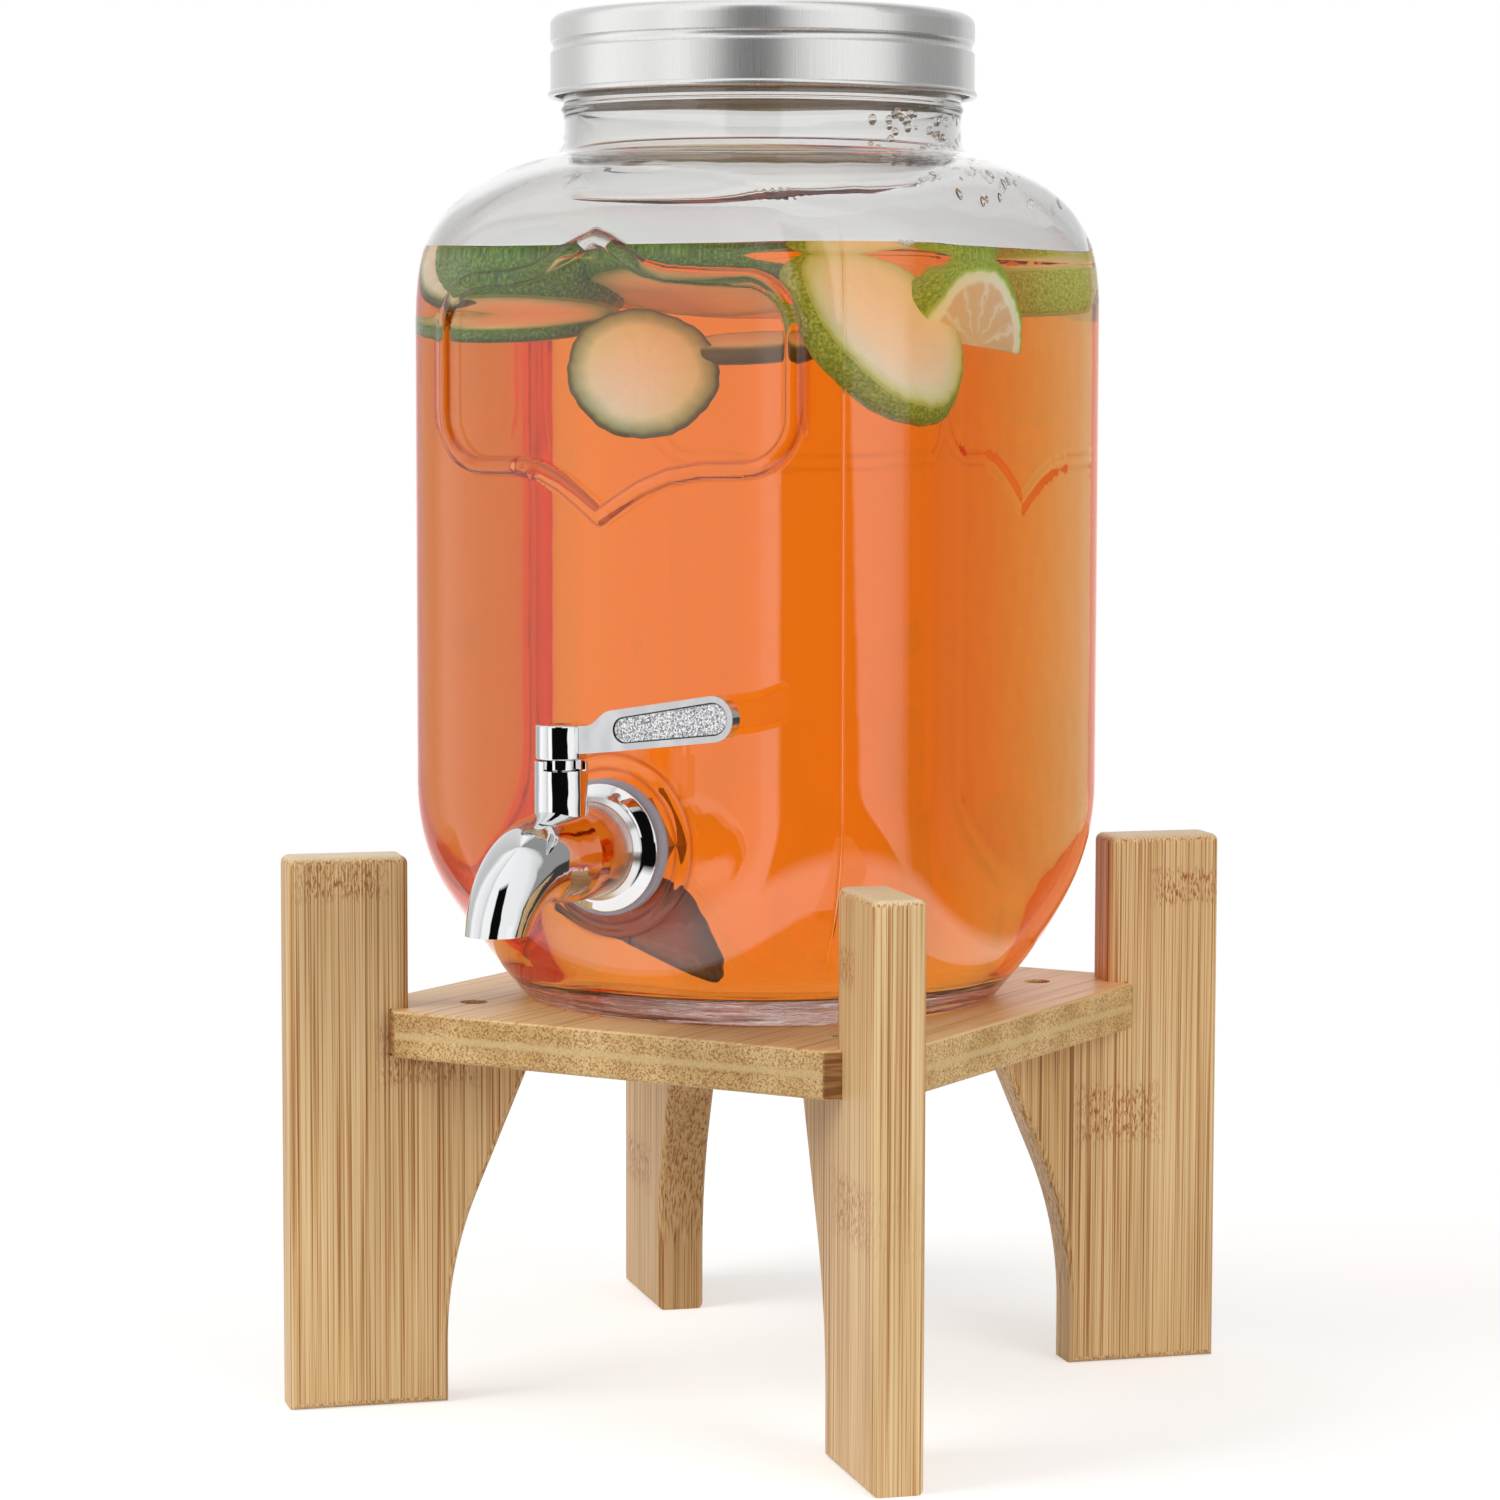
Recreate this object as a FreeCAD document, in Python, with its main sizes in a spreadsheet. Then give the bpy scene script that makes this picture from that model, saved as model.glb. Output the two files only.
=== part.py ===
import FreeCAD, Part
import math
import os
import re
import Sketcher
from FreeCAD import Placement, Rotation, Vector

# Drink dispenser: square glass jar with a lever tap and a steel screw lid, on a bamboo stand with four legs.
# Millimetres. +Z is up, the floor is z = 0, the stand's middle is on the Z axis and the tap points to -Y.

doc = FreeCAD.newDocument("DrinkDispenser")

# Driving sizes: alias, value, meaning
SIZES = [
    # stand
    ("board_half", 81.3, "shelf board: middle to a side"),
    ("board_thick", 12.5, "shelf board: thickness"),
    ("board_under", 94.3, "shelf board: height of its underside"),
    ("board_corner", 16.3, "shelf board: leg of the cut corner"),
    ("board_round", 1.2, "shelf board: rounding of its edges"),
    ("leg_tall", 147.4, "leg: height"),
    ("leg_thick", 13.9, "leg: thickness of the plank"),
    ("leg_reach", 130.4, "leg: outer edge from the middle"),
    ("post_wide", 32.2, "leg: width above the board"),
    ("foot_wide", 42.6, "leg: width at the floor"),
    ("arch_start", 16.0, "leg: height where the arch begins"),
    ("arch_rise", 41.0, "leg: height of the arch"),
    ("arch_run", 8.3, "leg: how far the arch leans in"),
    ("bracket_inset", 66.6, "leg: bracket's tip, inward from the outer edge"),
    ("leg_round", 2.2, "leg: rounding of the plank's edges"),
    ("screw_inset", 51.0, "leg screw: axis, inward from the leg's outer edge"),
    ("screw_head_dia", 7.0, "leg screw: head"),
    ("screw_head_tall", 2.4, "leg screw: head's height"),
    ("screw_sink", 4.6, "leg screw: depth of the head's top below the board"),
    ("screw_shank_dia", 4.0, "leg screw: shank"),
    ("screw_long", 31.0, "leg screw: shank's length"),
    ("screw_play", 0.25, "leg screw: play around head and shank in the board"),
    ("driver_slot", 1.2, "leg screw: width of the cross slot"),
    ("cut_over", 1.0, "how far a cutting solid passes the face that it cuts"),
    # jar
    ("jar_half", 76.5, "jar: middle to a flat panel"),
    ("jar_corner", 34.4, "jar: radius of its upright corners"),
    ("jar_blend", 12.0, "jar: blend between the panels and the round shoulder and heel"),
    ("glass_wall", 3.5, "jar: glass thickness"),
    ("base_thick", 9.0, "jar: glass thickness of the base"),
    ("push_up", 1.8, "jar: hollow under the base"),
    ("foot_radius", 61.0, "jar: outer radius of the round foot"),
    ("foot_band", 9.0, "jar: width of the foot's flat ring"),
    ("heel_tall", 61.2, "jar: height of the round heel"),
    ("body_tall", 222.7, "jar: height of the shoulder's top"),
    ("shoulder_radius", 35.5, "jar: rounding of the shoulder"),
    ("corner_spare", 0.4, "jar: turned outline beyond the corners"),
    ("neck_radius", 53.2, "jar: outer radius of the neck"),
    ("neck_round", 4.8, "jar: hollow round between shoulder and neck"),
    ("neck_tall", 38.0, "jar: mouth above the shoulder's top"),
    ("bead_drop", 24.3, "jar: bead under the lid, from its underside to the mouth"),
    ("bead_tall", 2.4, "jar: height of that bead"),
    ("bead_deep", 0.7, "jar: how far the bead stands out"),
    ("pitch", 5.08, "neck thread: rise in one turn"),
    ("thread_turns", 1.25, "neck thread: turns"),
    ("thread_drop", 13.1, "neck thread: its start below the mouth"),
    ("thread_deep", 1.4, "neck thread: how far it stands out"),
    ("thread_base", 2.4, "neck thread: height at its root"),
    ("thread_crest", 1.0, "neck thread: height at its crest"),
    # tap
    ("tap_tall", 47.2, "tap: height of its axis above the jar's foot"),
    ("boss_radius", 21.8, "glass boss around the tap hole: radius"),
    ("boss_tall", 1.5, "glass boss: how far it stands out"),
    ("hole_radius", 8.4, "tap hole in the glass: radius"),
    ("shank_radius", 8.0, "tap shank: radius"),
    ("shank_spare", 2.8, "tap shank: length beyond the nut"),
    ("gasket_radius", 17.5, "outer gasket: radius"),
    ("gasket_thick", 2.5, "gaskets: thickness"),
    ("flange_radius", 16.5, "flange: radius"),
    ("flange_thick", 3.2, "flange: thickness"),
    ("flange_rim", 1.0, "flange: height of its rim"),
    ("flange_dish", 0.6, "flange: width and height of its bevels"),
    ("ring_radius", 13.3, "tap shoulder: radius"),
    ("ring_thick", 1.4, "tap shoulder: thickness"),
    ("barrel_radius", 12.2, "tap barrel: radius"),
    ("spout_radius", 7.0, "spout: radius at its tip"),
    ("bore_radius", 3.8, "tap: radius of the waterway"),
    ("bore_flare", 1.0, "tap: how much wider the waterway is at the spout's end"),
    ("stem_out", 22.7, "tap: stem axis in front of the glass boss"),
    ("spout_straight", 7.3, "spout: straight run in front of the stem"),
    ("spout_bend", 23.5, "spout: radius of its bend"),
    ("spout_turn", 70.0, "spout: angle of its bend, degrees"),
    ("spout_drop", 17.0, "spout: tip below the tap's axis"),
    ("collar_radius", 6.8, "collar: radius"),
    ("collar_tall", 23.9, "collar: top above the tap's axis"),
    ("notch_tall", 2.4, "collar: depth of the stop notch"),
    ("plug_radius", 5.5, "valve plug: radius"),
    ("plug_low", 7.2, "valve plug: underside below the tap's axis"),
    ("plug_high", 10.2, "valve plug: shoulder above the tap's axis"),
    ("run_gap", 0.06, "running clearance of the plug and the stem, on the radius"),
    ("end_gap", 0.3, "clearance of turning end faces"),
    ("stem_radius", 4.4, "stem: radius"),
    ("stem_tall", 30.2, "stem: top above the tap's axis"),
    ("snap_thick", 1.0, "retaining ring: thickness"),
    ("snap_radius", 6.1, "retaining ring: outer radius"),
    ("seal_wire", 1.5, "stem seals: thickness of the ring"),
    ("seal_low", 5.4, "lower stem seal: height above the tap's axis"),
    ("seal_high", 8.4, "upper stem seal: height above the tap's axis"),
    ("inner_gasket_radius", 15.0, "inner gasket: radius"),
    ("washer_radius", 14.5, "nut washer: radius"),
    ("washer_thick", 1.2, "nut washer: thickness"),
    ("nut_across", 24.0, "lock nut: across its flats"),
    ("nut_thick", 6.0, "lock nut: thickness"),
    # lever
    ("hub_radius", 6.5, "lever hub: radius"),
    ("hub_tall", 8.8, "lever hub: height"),
    ("hub_round", 0.5, "lever hub: rounding of its edges"),
    ("arm_thick", 3.6, "lever arm: thickness of the plate"),
    ("paddle_reach", 45.0, "lever: stem axis to the middle of the paddle's round end"),
    ("paddle_lift", 12.0, "lever: that middle above the hub's underside"),
    ("paddle_radius", 5.7, "lever: radius of the round end"),
    ("arm_root", 15.5, "lever: where the arm has its full depth"),
    ("arm_top", 12.9, "lever: top of the arm there"),
    ("arm_bottom", 2.6, "lever: bottom of the arm there"),
    ("arm_level", 8.5, "lever: where the arm's top edge leaves the hub's height"),
    ("arm_ease", 2.8, "lever: length of the two soft ends of that rise"),
    ("pad_start", 19.6, "lever pad: middle of its inner end"),
    ("pad_lift", 8.2, "lever pad: height of that middle"),
    ("pad_small", 3.3, "lever pad: radius of its inner end"),
    ("pad_rim", 1.6, "lever pad: rim around its outer end"),
    ("pad_deep", 0.5, "lever pad: how deep it is sunk"),
    ("tab_wide", 1.1, "stop tab: width"),
    ("tab_inset", 0.3, "stop tab: back from the hub's side and from the stem"),
    ("tab_gap", 0.2, "stop tab: clearance at the notch's ends and floor"),
    ("lever_screw_dia", 3.0, "lever screw: shank"),
    ("lever_screw_head", 5.6, "lever screw: head"),
    ("lever_screw_long", 9.0, "lever screw: length with its head"),
    ("drive_deep", 1.0, "lever screw: depth of its hexagon socket"),
    # lid
    ("lid_radius", 56.7, "lid: outer radius of the skirt"),
    ("lid_tall", 22.0, "lid: height"),
    ("lid_sheet", 0.5, "lid: thickness of the sheet"),
    ("lid_round", 3.0, "lid: rounding of its top edge"),
    ("curl_radius", 0.9, "lid: radius of the curled rim"),
    ("groove_drop", 8.8, "lid: rolled groove below the top"),
    ("groove_tall", 3.0, "lid: height of the rolled groove"),
    ("groove_deep", 0.8, "lid: depth of the rolled groove"),
    ("liner_thick", 1.6, "lid liner: thickness"),
    ("liner_gap", 0.2, "lid liner: clearance to the round of the lid's top edge"),
    ("lid_thread_gap", 0.5, "lid thread: clearance to the neck"),
    ("lid_thread_crest", 0.9, "lid thread: height at its crest"),
    ("lid_thread_base", 2.0, "lid thread: height at its root"),
]

sheet = doc.addObject("Spreadsheet::Sheet", "Sizes")
for row, (alias, value, meaning) in enumerate(SIZES, start=1):
    sheet.set("A%d" % row, alias)
    sheet.set("B%d" % row, str(value))
    sheet.set("C%d" % row, meaning)
    sheet.setAlias("B%d" % row, alias)
doc.recompute()

ALIASES = [alias for alias, value, meaning in SIZES]
TINY = 1e-3  # two places closer than this are the same place
NAME = re.compile(r"[a-z][a-z_]*")
UPRIGHT = Rotation()
OUTWARD = Rotation(Vector(1, 0, 0), 90)  # turns a piece's own +Z to the front, -Y

# Places that several pieces share, as formulas of the driving sizes
SEAT = "(board_under + board_thick)"
JAR_TALL = "(body_tall + neck_tall)"
MOUTH = "(" + SEAT + " + " + JAR_TALL + ")"
BEAD_LOW = "(" + JAR_TALL + " - bead_drop)"
CORNER_REACH = "((jar_half - jar_corner) * sqrt(2) + jar_corner + corner_spare)"
CHAMFER_REACH = "((2 * board_half - board_corner) / sqrt(2))"
TAP_FRONT = "(jar_half + boss_tall)"
TAP_HIGH = "(" + SEAT + " + tap_tall)"
STEM_FRONT = "(" + TAP_FRONT + " + stem_out)"
GLASS_AT_TAP = "(glass_wall + boss_tall)"
SHOULDER_OUT = "(gasket_thick + flange_thick)"
BARREL_OUT = "(gasket_thick + flange_thick + ring_thick)"
PLUG_BORE = "(plug_radius + run_gap)"
SCREW_REACH = "(leg_reach - screw_inset)"
HUB_LOW = "(collar_tall + end_gap)"
LID_LOW = "(" + MOUTH + " + liner_thick + lid_sheet - lid_tall)"
LID_THREAD_DEEP = "(lid_radius - lid_sheet - neck_radius - lid_thread_gap)"


def cells(formula):
    """The formula with each alias named in full, as an expression of the document."""
    return NAME.sub(lambda m: "Sizes." + m.group() if m.group() in ALIASES else m.group(), formula)


def size(formula):
    """The value of a formula of the driving sizes."""
    return float(sheet.evalExpression(cells(formula)))


def bind(item, **formulas):
    """Bind properties of a document object to formulas of the driving sizes."""
    for name, formula in formulas.items():
        item.setExpression(name, cells(formula))
    return item


def place(item, rotation=UPRIGHT, **base):
    """Turn a document object and bind its position along X, Y and Z."""
    item.Placement = Placement(Vector(0, 0, 0), rotation)
    for axis, formula in base.items():
        item.setExpression("Placement.Base." + axis, cells(formula))
    return item


def centre_of(start, end, radius, side):
    """Centre of the arc from start to end; side is 1 when it lies to the left of the way."""
    half = (end - start) * 0.5
    rise = math.sqrt(max(radius**2 - half.Length**2, 0.0))
    left = Vector(-half.y, half.x, 0).normalize()
    return start + half + left * (rise * side)


def outline(body, label, plane, points):
    """A closed sketch in one of the body's own planes.

    Each point is a pair of formulas, and a point that starts an arc also has the arc's radius
    and the side of its centre. Every corner and radius is bound to its formula.
    """
    sketch = body.newObject("Sketcher::SketchObject", label)
    origin_plane = [f for f in body.Origin.OriginFeatures if f.Role == plane][0]
    sketch.AttachmentSupport = (origin_plane, [""])
    sketch.MapMode = "FlatFace"
    corners = [Vector(size(p[0]), size(p[1]), 0) for p in points]
    count = len(points)
    for i, point in enumerate(points):
        start = corners[i]
        end = corners[(i + 1) % count]
        if len(point) == 2:
            sketch.addGeometry(Part.LineSegment(start, end), False)
            continue
        radius = size(point[2])
        centre = centre_of(start, end, radius, point[3])
        a = math.atan2(start.y - centre.y, start.x - centre.x)
        b = math.atan2(end.y - centre.y, end.x - centre.x)
        if point[3] < 0:
            a, b = b, a
        circle = Part.Circle(centre, Vector(0, 0, 1), radius)
        sketch.addGeometry(Part.ArcOfCircle(circle, a, b), False)
    first = [2 if len(p) == 4 and p[3] < 0 else 1 for p in points]
    for i, point in enumerate(points):
        k = (i + 1) % count
        sketch.addConstraint(Sketcher.Constraint("Coincident", i, 3 - first[i], k, first[k]))
        for kind, formula in (("DistanceX", point[0]), ("DistanceY", point[1])):
            value = size(formula)
            n = sketch.addConstraint(Sketcher.Constraint(kind, -1, 1, i, first[i], value))
            sketch.setExpression("Constraints[%d]" % n, cells(formula))
        if len(point) == 4:
            n = sketch.addConstraint(Sketcher.Constraint("Radius", i, size(point[2])))
            sketch.setExpression("Constraints[%d]" % n, cells(point[2]))
    return sketch


def turned(label, points):
    """A body turned about its Z axis from an outline in the XZ plane."""
    body = doc.addObject("PartDesign::Body", label)
    sketch = outline(body, label + "_outline", "XZ_Plane", points)
    spin = body.newObject("PartDesign::Revolution", label + "_turned")
    spin.Profile = sketch
    spin.ReferenceAxis = (sketch, ["V_Axis"])
    spin.Angle = 360
    body.Tip = spin
    return body


def padded(label, plane, points, length, midplane=False):
    """A body padded from an outline."""
    body = doc.addObject("PartDesign::Body", label)
    sketch = outline(body, label + "_outline", plane, points)
    pad = body.newObject("PartDesign::Pad", label + "_pad")
    pad.Profile = sketch
    pad.Midplane = midplane
    bind(pad, Length=length)
    body.Tip = pad
    return body


def rounded(body, label, radius, keep):
    """Round the edges of the body's tip for which keep(edge) is true."""
    doc.recompute()
    base = body.Tip
    names = ["Edge%d" % (i + 1) for i, edge in enumerate(base.Shape.Edges) if keep(edge)]
    fillet = body.newObject("PartDesign::Fillet", label)
    fillet.Base = (base, names)
    bind(fillet, Radius=radius)
    body.Tip = fillet
    return body


def cylinder(label, radius, height, rotation=UPRIGHT, **base):
    return place(bind(doc.addObject("Part::Cylinder", label), Radius=radius, Height=height), rotation, **base)


def block(label, length, width, height, rotation=UPRIGHT, **base):
    item = bind(doc.addObject("Part::Box", label), Length=length, Width=width, Height=height)
    return place(item, rotation, **base)


def fused(label, *items):
    item = doc.addObject("Part::MultiFuse", label)
    item.Shapes = list(items)
    return item


def cut(label, base, tool):
    item = doc.addObject("Part::Cut", label)
    item.Base = base
    item.Tool = tool
    return item


def common(label, *items):
    item = doc.addObject("Part::MultiCommon", label)
    item.Shapes = list(items)
    return item


def ring(label, outer, inner, height):
    """A flat ring that stands on its own XY plane."""
    return turned(label, [(inner, "0"), (outer, "0"), (outer, height), (inner, height)])


def screw(label, head, head_tall, shank, long):
    """A screw with its head's top at z = 0, its point down and a cross slot."""
    tip = "(" + shank + " / 2)"
    body = turned(
        label + "_blank",
        [
            ("0", "0"),
            (head + " / 2", "0"),
            (head + " / 2", "-" + head_tall),
            (tip, "-" + head_tall),
            (tip, "-" + long + " + " + tip),
            ("0", "-" + long),
        ],
    )
    depth = head_tall + " / 2"
    far = "-" + head + " / 2"
    near = "-driver_slot / 2"
    slot_x = block(label + "_slot_x", head, "driver_slot", head_tall, x=far, y=near, z="-" + depth)
    slot_y = block(label + "_slot_y", "driver_slot", head, head_tall, x=near, y=far, z="-" + depth)
    return cut(label, body, fused(label + "_slots", slot_x, slot_y))


def helix_ridge(label, radius, deep, base, crest, low, inward):
    """A thread ridge with a trapezoid section, swept along a right-handed helix about Z.

    It is rooted a little inside its wall. The sweep is made as a surface with Part's own functions,
    because a ridge's section has to keep upright along the helix.
    """
    root = size(radius)
    step = size(deep) * (-1 if inward else 1)
    sink = size("lid_sheet") / 2 * (1 if inward else -1)
    half_base = size(base) / 2
    half_crest = size(crest) / 2
    start = size(low)
    section = [
        Vector(root + sink, 0, start - half_base),
        Vector(root, 0, start - half_base),
        Vector(root + step, 0, start - half_crest),
        Vector(root + step, 0, start + half_crest),
        Vector(root, 0, start + half_base),
        Vector(root + sink, 0, start + half_base),
    ]
    wire = Part.makePolygon(section + section[:1])
    rise = size("pitch * thread_turns")
    path = Part.makeHelix(size("pitch"), rise, root)
    path.translate(Vector(0, 0, start))
    ridge = path.makePipeShell([wire], True, True)
    item = doc.addObject("Part::Feature", label)
    item.Shape = ridge
    return item


# ---- Stand ----------------------------------------------------------------------------------------------

QUARTERS = [("front_left", 225), ("front_right", 315), ("back_left", 135), ("back_right", 45)]

# Shelf board: a square with cut corners that sit in the legs' notches
side = "board_half"
inset = "(board_half - board_corner)"
board = padded(
    "board_blank",
    "XY_Plane",
    [
        (inset, "-" + side),
        (side, "-" + inset),
        (side, inset),
        (inset, side),
        ("-" + inset, side),
        ("-" + side, inset),
        ("-" + side, "-" + inset),
        ("-" + inset, "-" + side),
    ],
    "board_thick",
)
rounded(board, "board_rounded", "board_round", lambda edge: edge.BoundBox.ZLength < TINY)
place(board, z="board_under")

drills = []
for quarter, angle in QUARTERS:
    at = {"x": "%s * cos(%d)" % (SCREW_REACH, angle), "y": "%s * sin(%d)" % (SCREW_REACH, angle)}
    sink = cylinder(
        "sink_" + quarter,
        "screw_head_dia / 2 + screw_play",
        "screw_sink + screw_head_tall + cut_over",
        z=SEAT + " - screw_sink - screw_head_tall",
        **at
    )
    through = cylinder(
        "through_" + quarter,
        "screw_shank_dia / 2 + screw_play",
        "board_thick + 2 * cut_over",
        z="board_under - cut_over",
        **at
    )
    drills += [sink, through]
cut("shelf_board", board, fused("board_drills", *drills))


def leg(quarter, angle):
    """A plank in the plane of a diagonal: foot, arch, bracket, notch for the board's corner, and post."""
    inner_foot = "(leg_reach - foot_wide)"
    body = padded(
        "leg_blank_" + quarter,
        "XZ_Plane",
        [
            (inner_foot, "0"),
            ("leg_reach", "0"),
            ("leg_reach", "leg_tall"),
            ("leg_reach - post_wide", "leg_tall"),
            ("leg_reach - post_wide", SEAT),
            (CHAMFER_REACH, SEAT),
            (CHAMFER_REACH, "board_under"),
            ("leg_reach - bracket_inset", "board_under"),
            (
                inner_foot + " - arch_run",
                "arch_start + arch_rise",
                "(arch_run^2 + arch_rise^2) / (2 * arch_run)",
                -1,
            ),
            (inner_foot, "arch_start"),
        ],
        "leg_thick",
        midplane=True,
    )
    reach = size("leg_reach")
    wide = size("leg_thick") / 2
    notch_low = size("board_under") - TINY
    notch_high = size(SEAT) + TINY

    def on_outside(edge):
        """Edges of the two broad sides, except around the notch, and the two cross edges at the top."""
        box = edge.BoundBox
        middle = box.Center
        if box.YLength > TINY:
            return middle.z > size("leg_tall") - TINY
        in_notch = notch_low <= middle.z <= notch_high and middle.x < reach - TINY
        return abs(abs(middle.y) - wide) < TINY and not in_notch

    rounded(body, "leg_rounded_" + quarter, "leg_round", on_outside)
    pilot = cylinder(
        "pilot_" + quarter,
        "screw_shank_dia / 2",
        "screw_long",
        x=SCREW_REACH,
        z=SEAT + " - screw_sink - screw_long",
    )
    item = cut("leg_" + quarter, body, pilot)
    item.Placement = Placement(Vector(0, 0, 0), Rotation(Vector(0, 0, 1), angle))
    fixing = screw(
        "leg_screw_" + quarter, "screw_head_dia", "screw_head_tall", "screw_shank_dia", "screw_long"
    )
    place(
        fixing,
        Rotation(Vector(0, 0, 1), angle),
        x="%s * cos(%d)" % (SCREW_REACH, angle),
        y="%s * sin(%d)" % (SCREW_REACH, angle),
        z=SEAT + " - screw_sink",
    )


for quarter, angle in QUARTERS:
    leg(quarter, angle)


# ---- Jar ------------------------------------------------------------------------------------------------


def rounded_square(label, half, corner, height):
    """An upright prism on a square with round corners."""
    flat = "(%s - %s)" % (half, corner)
    points = [
        ("-" + flat, "-" + half),
        (flat, "-" + half, corner, 1),
        (half, "-" + flat),
        (half, flat, corner, 1),
        (flat, half),
        ("-" + flat, half, corner, 1),
        ("-" + half, flat),
        ("-" + half, "-" + flat, corner, 1),
    ]
    return padded(label, "XY_Plane", points, height)


# The jar is the part that a round outline and a square one share, hollowed in the same way
heel_run = "(%s - foot_radius)" % CORNER_REACH
jar_round = turned(
    "jar_round",
    [
        ("0", "push_up"),
        ("foot_radius - foot_band - push_up", "push_up"),
        ("foot_radius - foot_band", "0"),
        ("foot_radius", "0", "(%s^2 + heel_tall^2) / (2 * %s)" % (heel_run, heel_run), 1),
        (CORNER_REACH, "heel_tall"),
        (CORNER_REACH, "body_tall - shoulder_radius", "shoulder_radius", 1),
        (CORNER_REACH + " - shoulder_radius", "body_tall"),
        ("neck_radius + neck_round", "body_tall", "neck_round", -1),
        ("neck_radius", "body_tall + neck_round"),
        ("neck_radius", BEAD_LOW),
        ("neck_radius + bead_deep", BEAD_LOW + " + bead_deep"),
        ("neck_radius + bead_deep", BEAD_LOW + " + bead_tall - bead_deep"),
        ("neck_radius", BEAD_LOW + " + bead_tall"),
        ("neck_radius", JAR_TALL),
        ("0", JAR_TALL),
    ],
)
jar_square = rounded_square("jar_square", "jar_half", "jar_corner", JAR_TALL + " + cut_over")
floor_radius = "(foot_radius - foot_band)"
hollow_run = "(%s - glass_wall - %s)" % (CORNER_REACH, floor_radius)
hollow_rise = "(heel_tall - base_thick)"
hollow_round = turned(
    "hollow_round",
    [
        ("0", "base_thick"),
        (floor_radius, "base_thick", "(%s^2 + %s^2) / (2 * %s)" % (hollow_run, hollow_rise, hollow_run), 1),
        (CORNER_REACH + " - glass_wall", "heel_tall"),
        (CORNER_REACH + " - glass_wall", "body_tall - shoulder_radius", "shoulder_radius - glass_wall", 1),
        (CORNER_REACH + " - shoulder_radius", "body_tall - glass_wall"),
        ("neck_radius + neck_round", "body_tall - glass_wall", "neck_round + glass_wall", -1),
        ("neck_radius - glass_wall", "body_tall + neck_round"),
        ("neck_radius - glass_wall", JAR_TALL + " + cut_over"),
        ("0", JAR_TALL + " + cut_over"),
    ],
)
hollow_square = rounded_square(
    "hollow_square", "(jar_half - glass_wall)", "(jar_corner - glass_wall)", JAR_TALL + " + 2 * cut_over"
)
jar_solid = common("jar_solid", jar_round, jar_square)
hollow = common("jar_hollow", hollow_round, hollow_square)
boss = cylinder(
    "jar_boss",
    "boss_radius",
    "boss_tall + glass_wall / 2",
    OUTWARD,
    y="-jar_half + glass_wall / 2",
    z="tap_tall",
)
THREAD_LOW = "(" + JAR_TALL + " - thread_drop)"
neck_thread = helix_ridge(
    "neck_thread", "neck_radius", "thread_deep", "thread_base", "thread_crest", THREAD_LOW, False
)
tap_hole = cylinder(
    "tap_hole",
    "hole_radius",
    "%s + 2 * cut_over" % GLASS_AT_TAP,
    OUTWARD,
    y="-jar_half + glass_wall + cut_over",
    z="tap_tall",
)
doc.recompute()
arches = [i + 1 for i, edge in enumerate(jar_solid.Shape.Edges) if "BSpline" in edge.Curve.TypeId]
jar_smooth = doc.addObject("Part::Fillet", "jar_smooth")
jar_smooth.Base = jar_solid
jar_smooth.Edges = [(edge, size("jar_blend"), size("jar_blend")) for edge in arches]
jar_outside = fused("jar_outside", jar_smooth, boss, neck_thread)
jar = cut("glass_jar", jar_outside, fused("jar_openings", hollow, tap_hole))
place(jar, z=SEAT)

# ---- Tap ------------------------------------------------------------------------------------------------
# The tap's fixed pieces are drawn about its own axis: z = 0 is the boss's face and +Z points out of the jar,
# with +Y up. They are then turned to the front.


def at_tap(item, out="0"):
    """Put a piece drawn about the tap's axis where it belongs, with its z = 0 out mm in front of the boss."""
    return place(item, OUTWARD, y="-%s - %s" % (TAP_FRONT, out), z=TAP_HIGH)


def at_stem(item, lift="0"):
    """Put a piece drawn about the stem's axis where it belongs, lift mm above the tap's axis."""
    return place(item, y="-" + STEM_FRONT, z="%s + %s" % (TAP_HIGH, lift))


def spout_path():
    """The tap's bent axis from the stem to just past the tip: straight, an arc down, and straight again."""
    stem_at = Vector(0, 0, size("stem_out"))
    bend_at = stem_at + Vector(0, 0, size("spout_straight"))
    bend = size("spout_bend")
    turn = math.radians(size("spout_turn"))
    half_turn = turn / 2
    middle = bend_at + Vector(0, -bend * (1 - math.cos(half_turn)), bend * math.sin(half_turn))
    end = bend_at + Vector(0, -bend * (1 - math.cos(turn)), bend * math.sin(turn))
    past = end + Vector(0, -math.sin(turn), math.cos(turn)) * size("spout_radius")
    edges = [
        Part.LineSegment(stem_at, bend_at).toShape(),
        Part.Arc(bend_at, middle, end).toShape(),
        Part.LineSegment(end, past).toShape(),
    ]
    item = doc.addObject("Part::Feature", "spout_path")
    item.Shape = Part.Wire(edges)
    return item, stem_at, past


tap_path, path_start, path_end = spout_path()


def spout_sweep(label, wide, narrow):
    """A round sweep along the tap's bent axis that goes from radius wide to radius narrow."""
    first = bind(doc.addObject("Part::Circle", label + "_first"), Radius=wide)
    first.Placement = Placement(path_start, Rotation())
    last = bind(doc.addObject("Part::Circle", label + "_last"), Radius=narrow)
    last.Placement = Placement(path_end, Rotation(Vector(1, 0, 0), size("spout_turn")))
    sweep = doc.addObject("Part::Sweep", label)
    sweep.Sections = [first, last]
    sweep.Spine = (tap_path, ["Edge1", "Edge2", "Edge3"])
    sweep.Solid = True
    sweep.Frenet = True
    return sweep


NUT_BACK = "(%s + gasket_thick + washer_thick + nut_thick)" % GLASS_AT_TAP
SHANK_BACK = "(%s + shank_spare)" % NUT_BACK
STEM_TURN = Rotation(Vector(1, 0, 0), -90)  # in the tap's own frame, a piece's +Z to +Y, which is up

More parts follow.
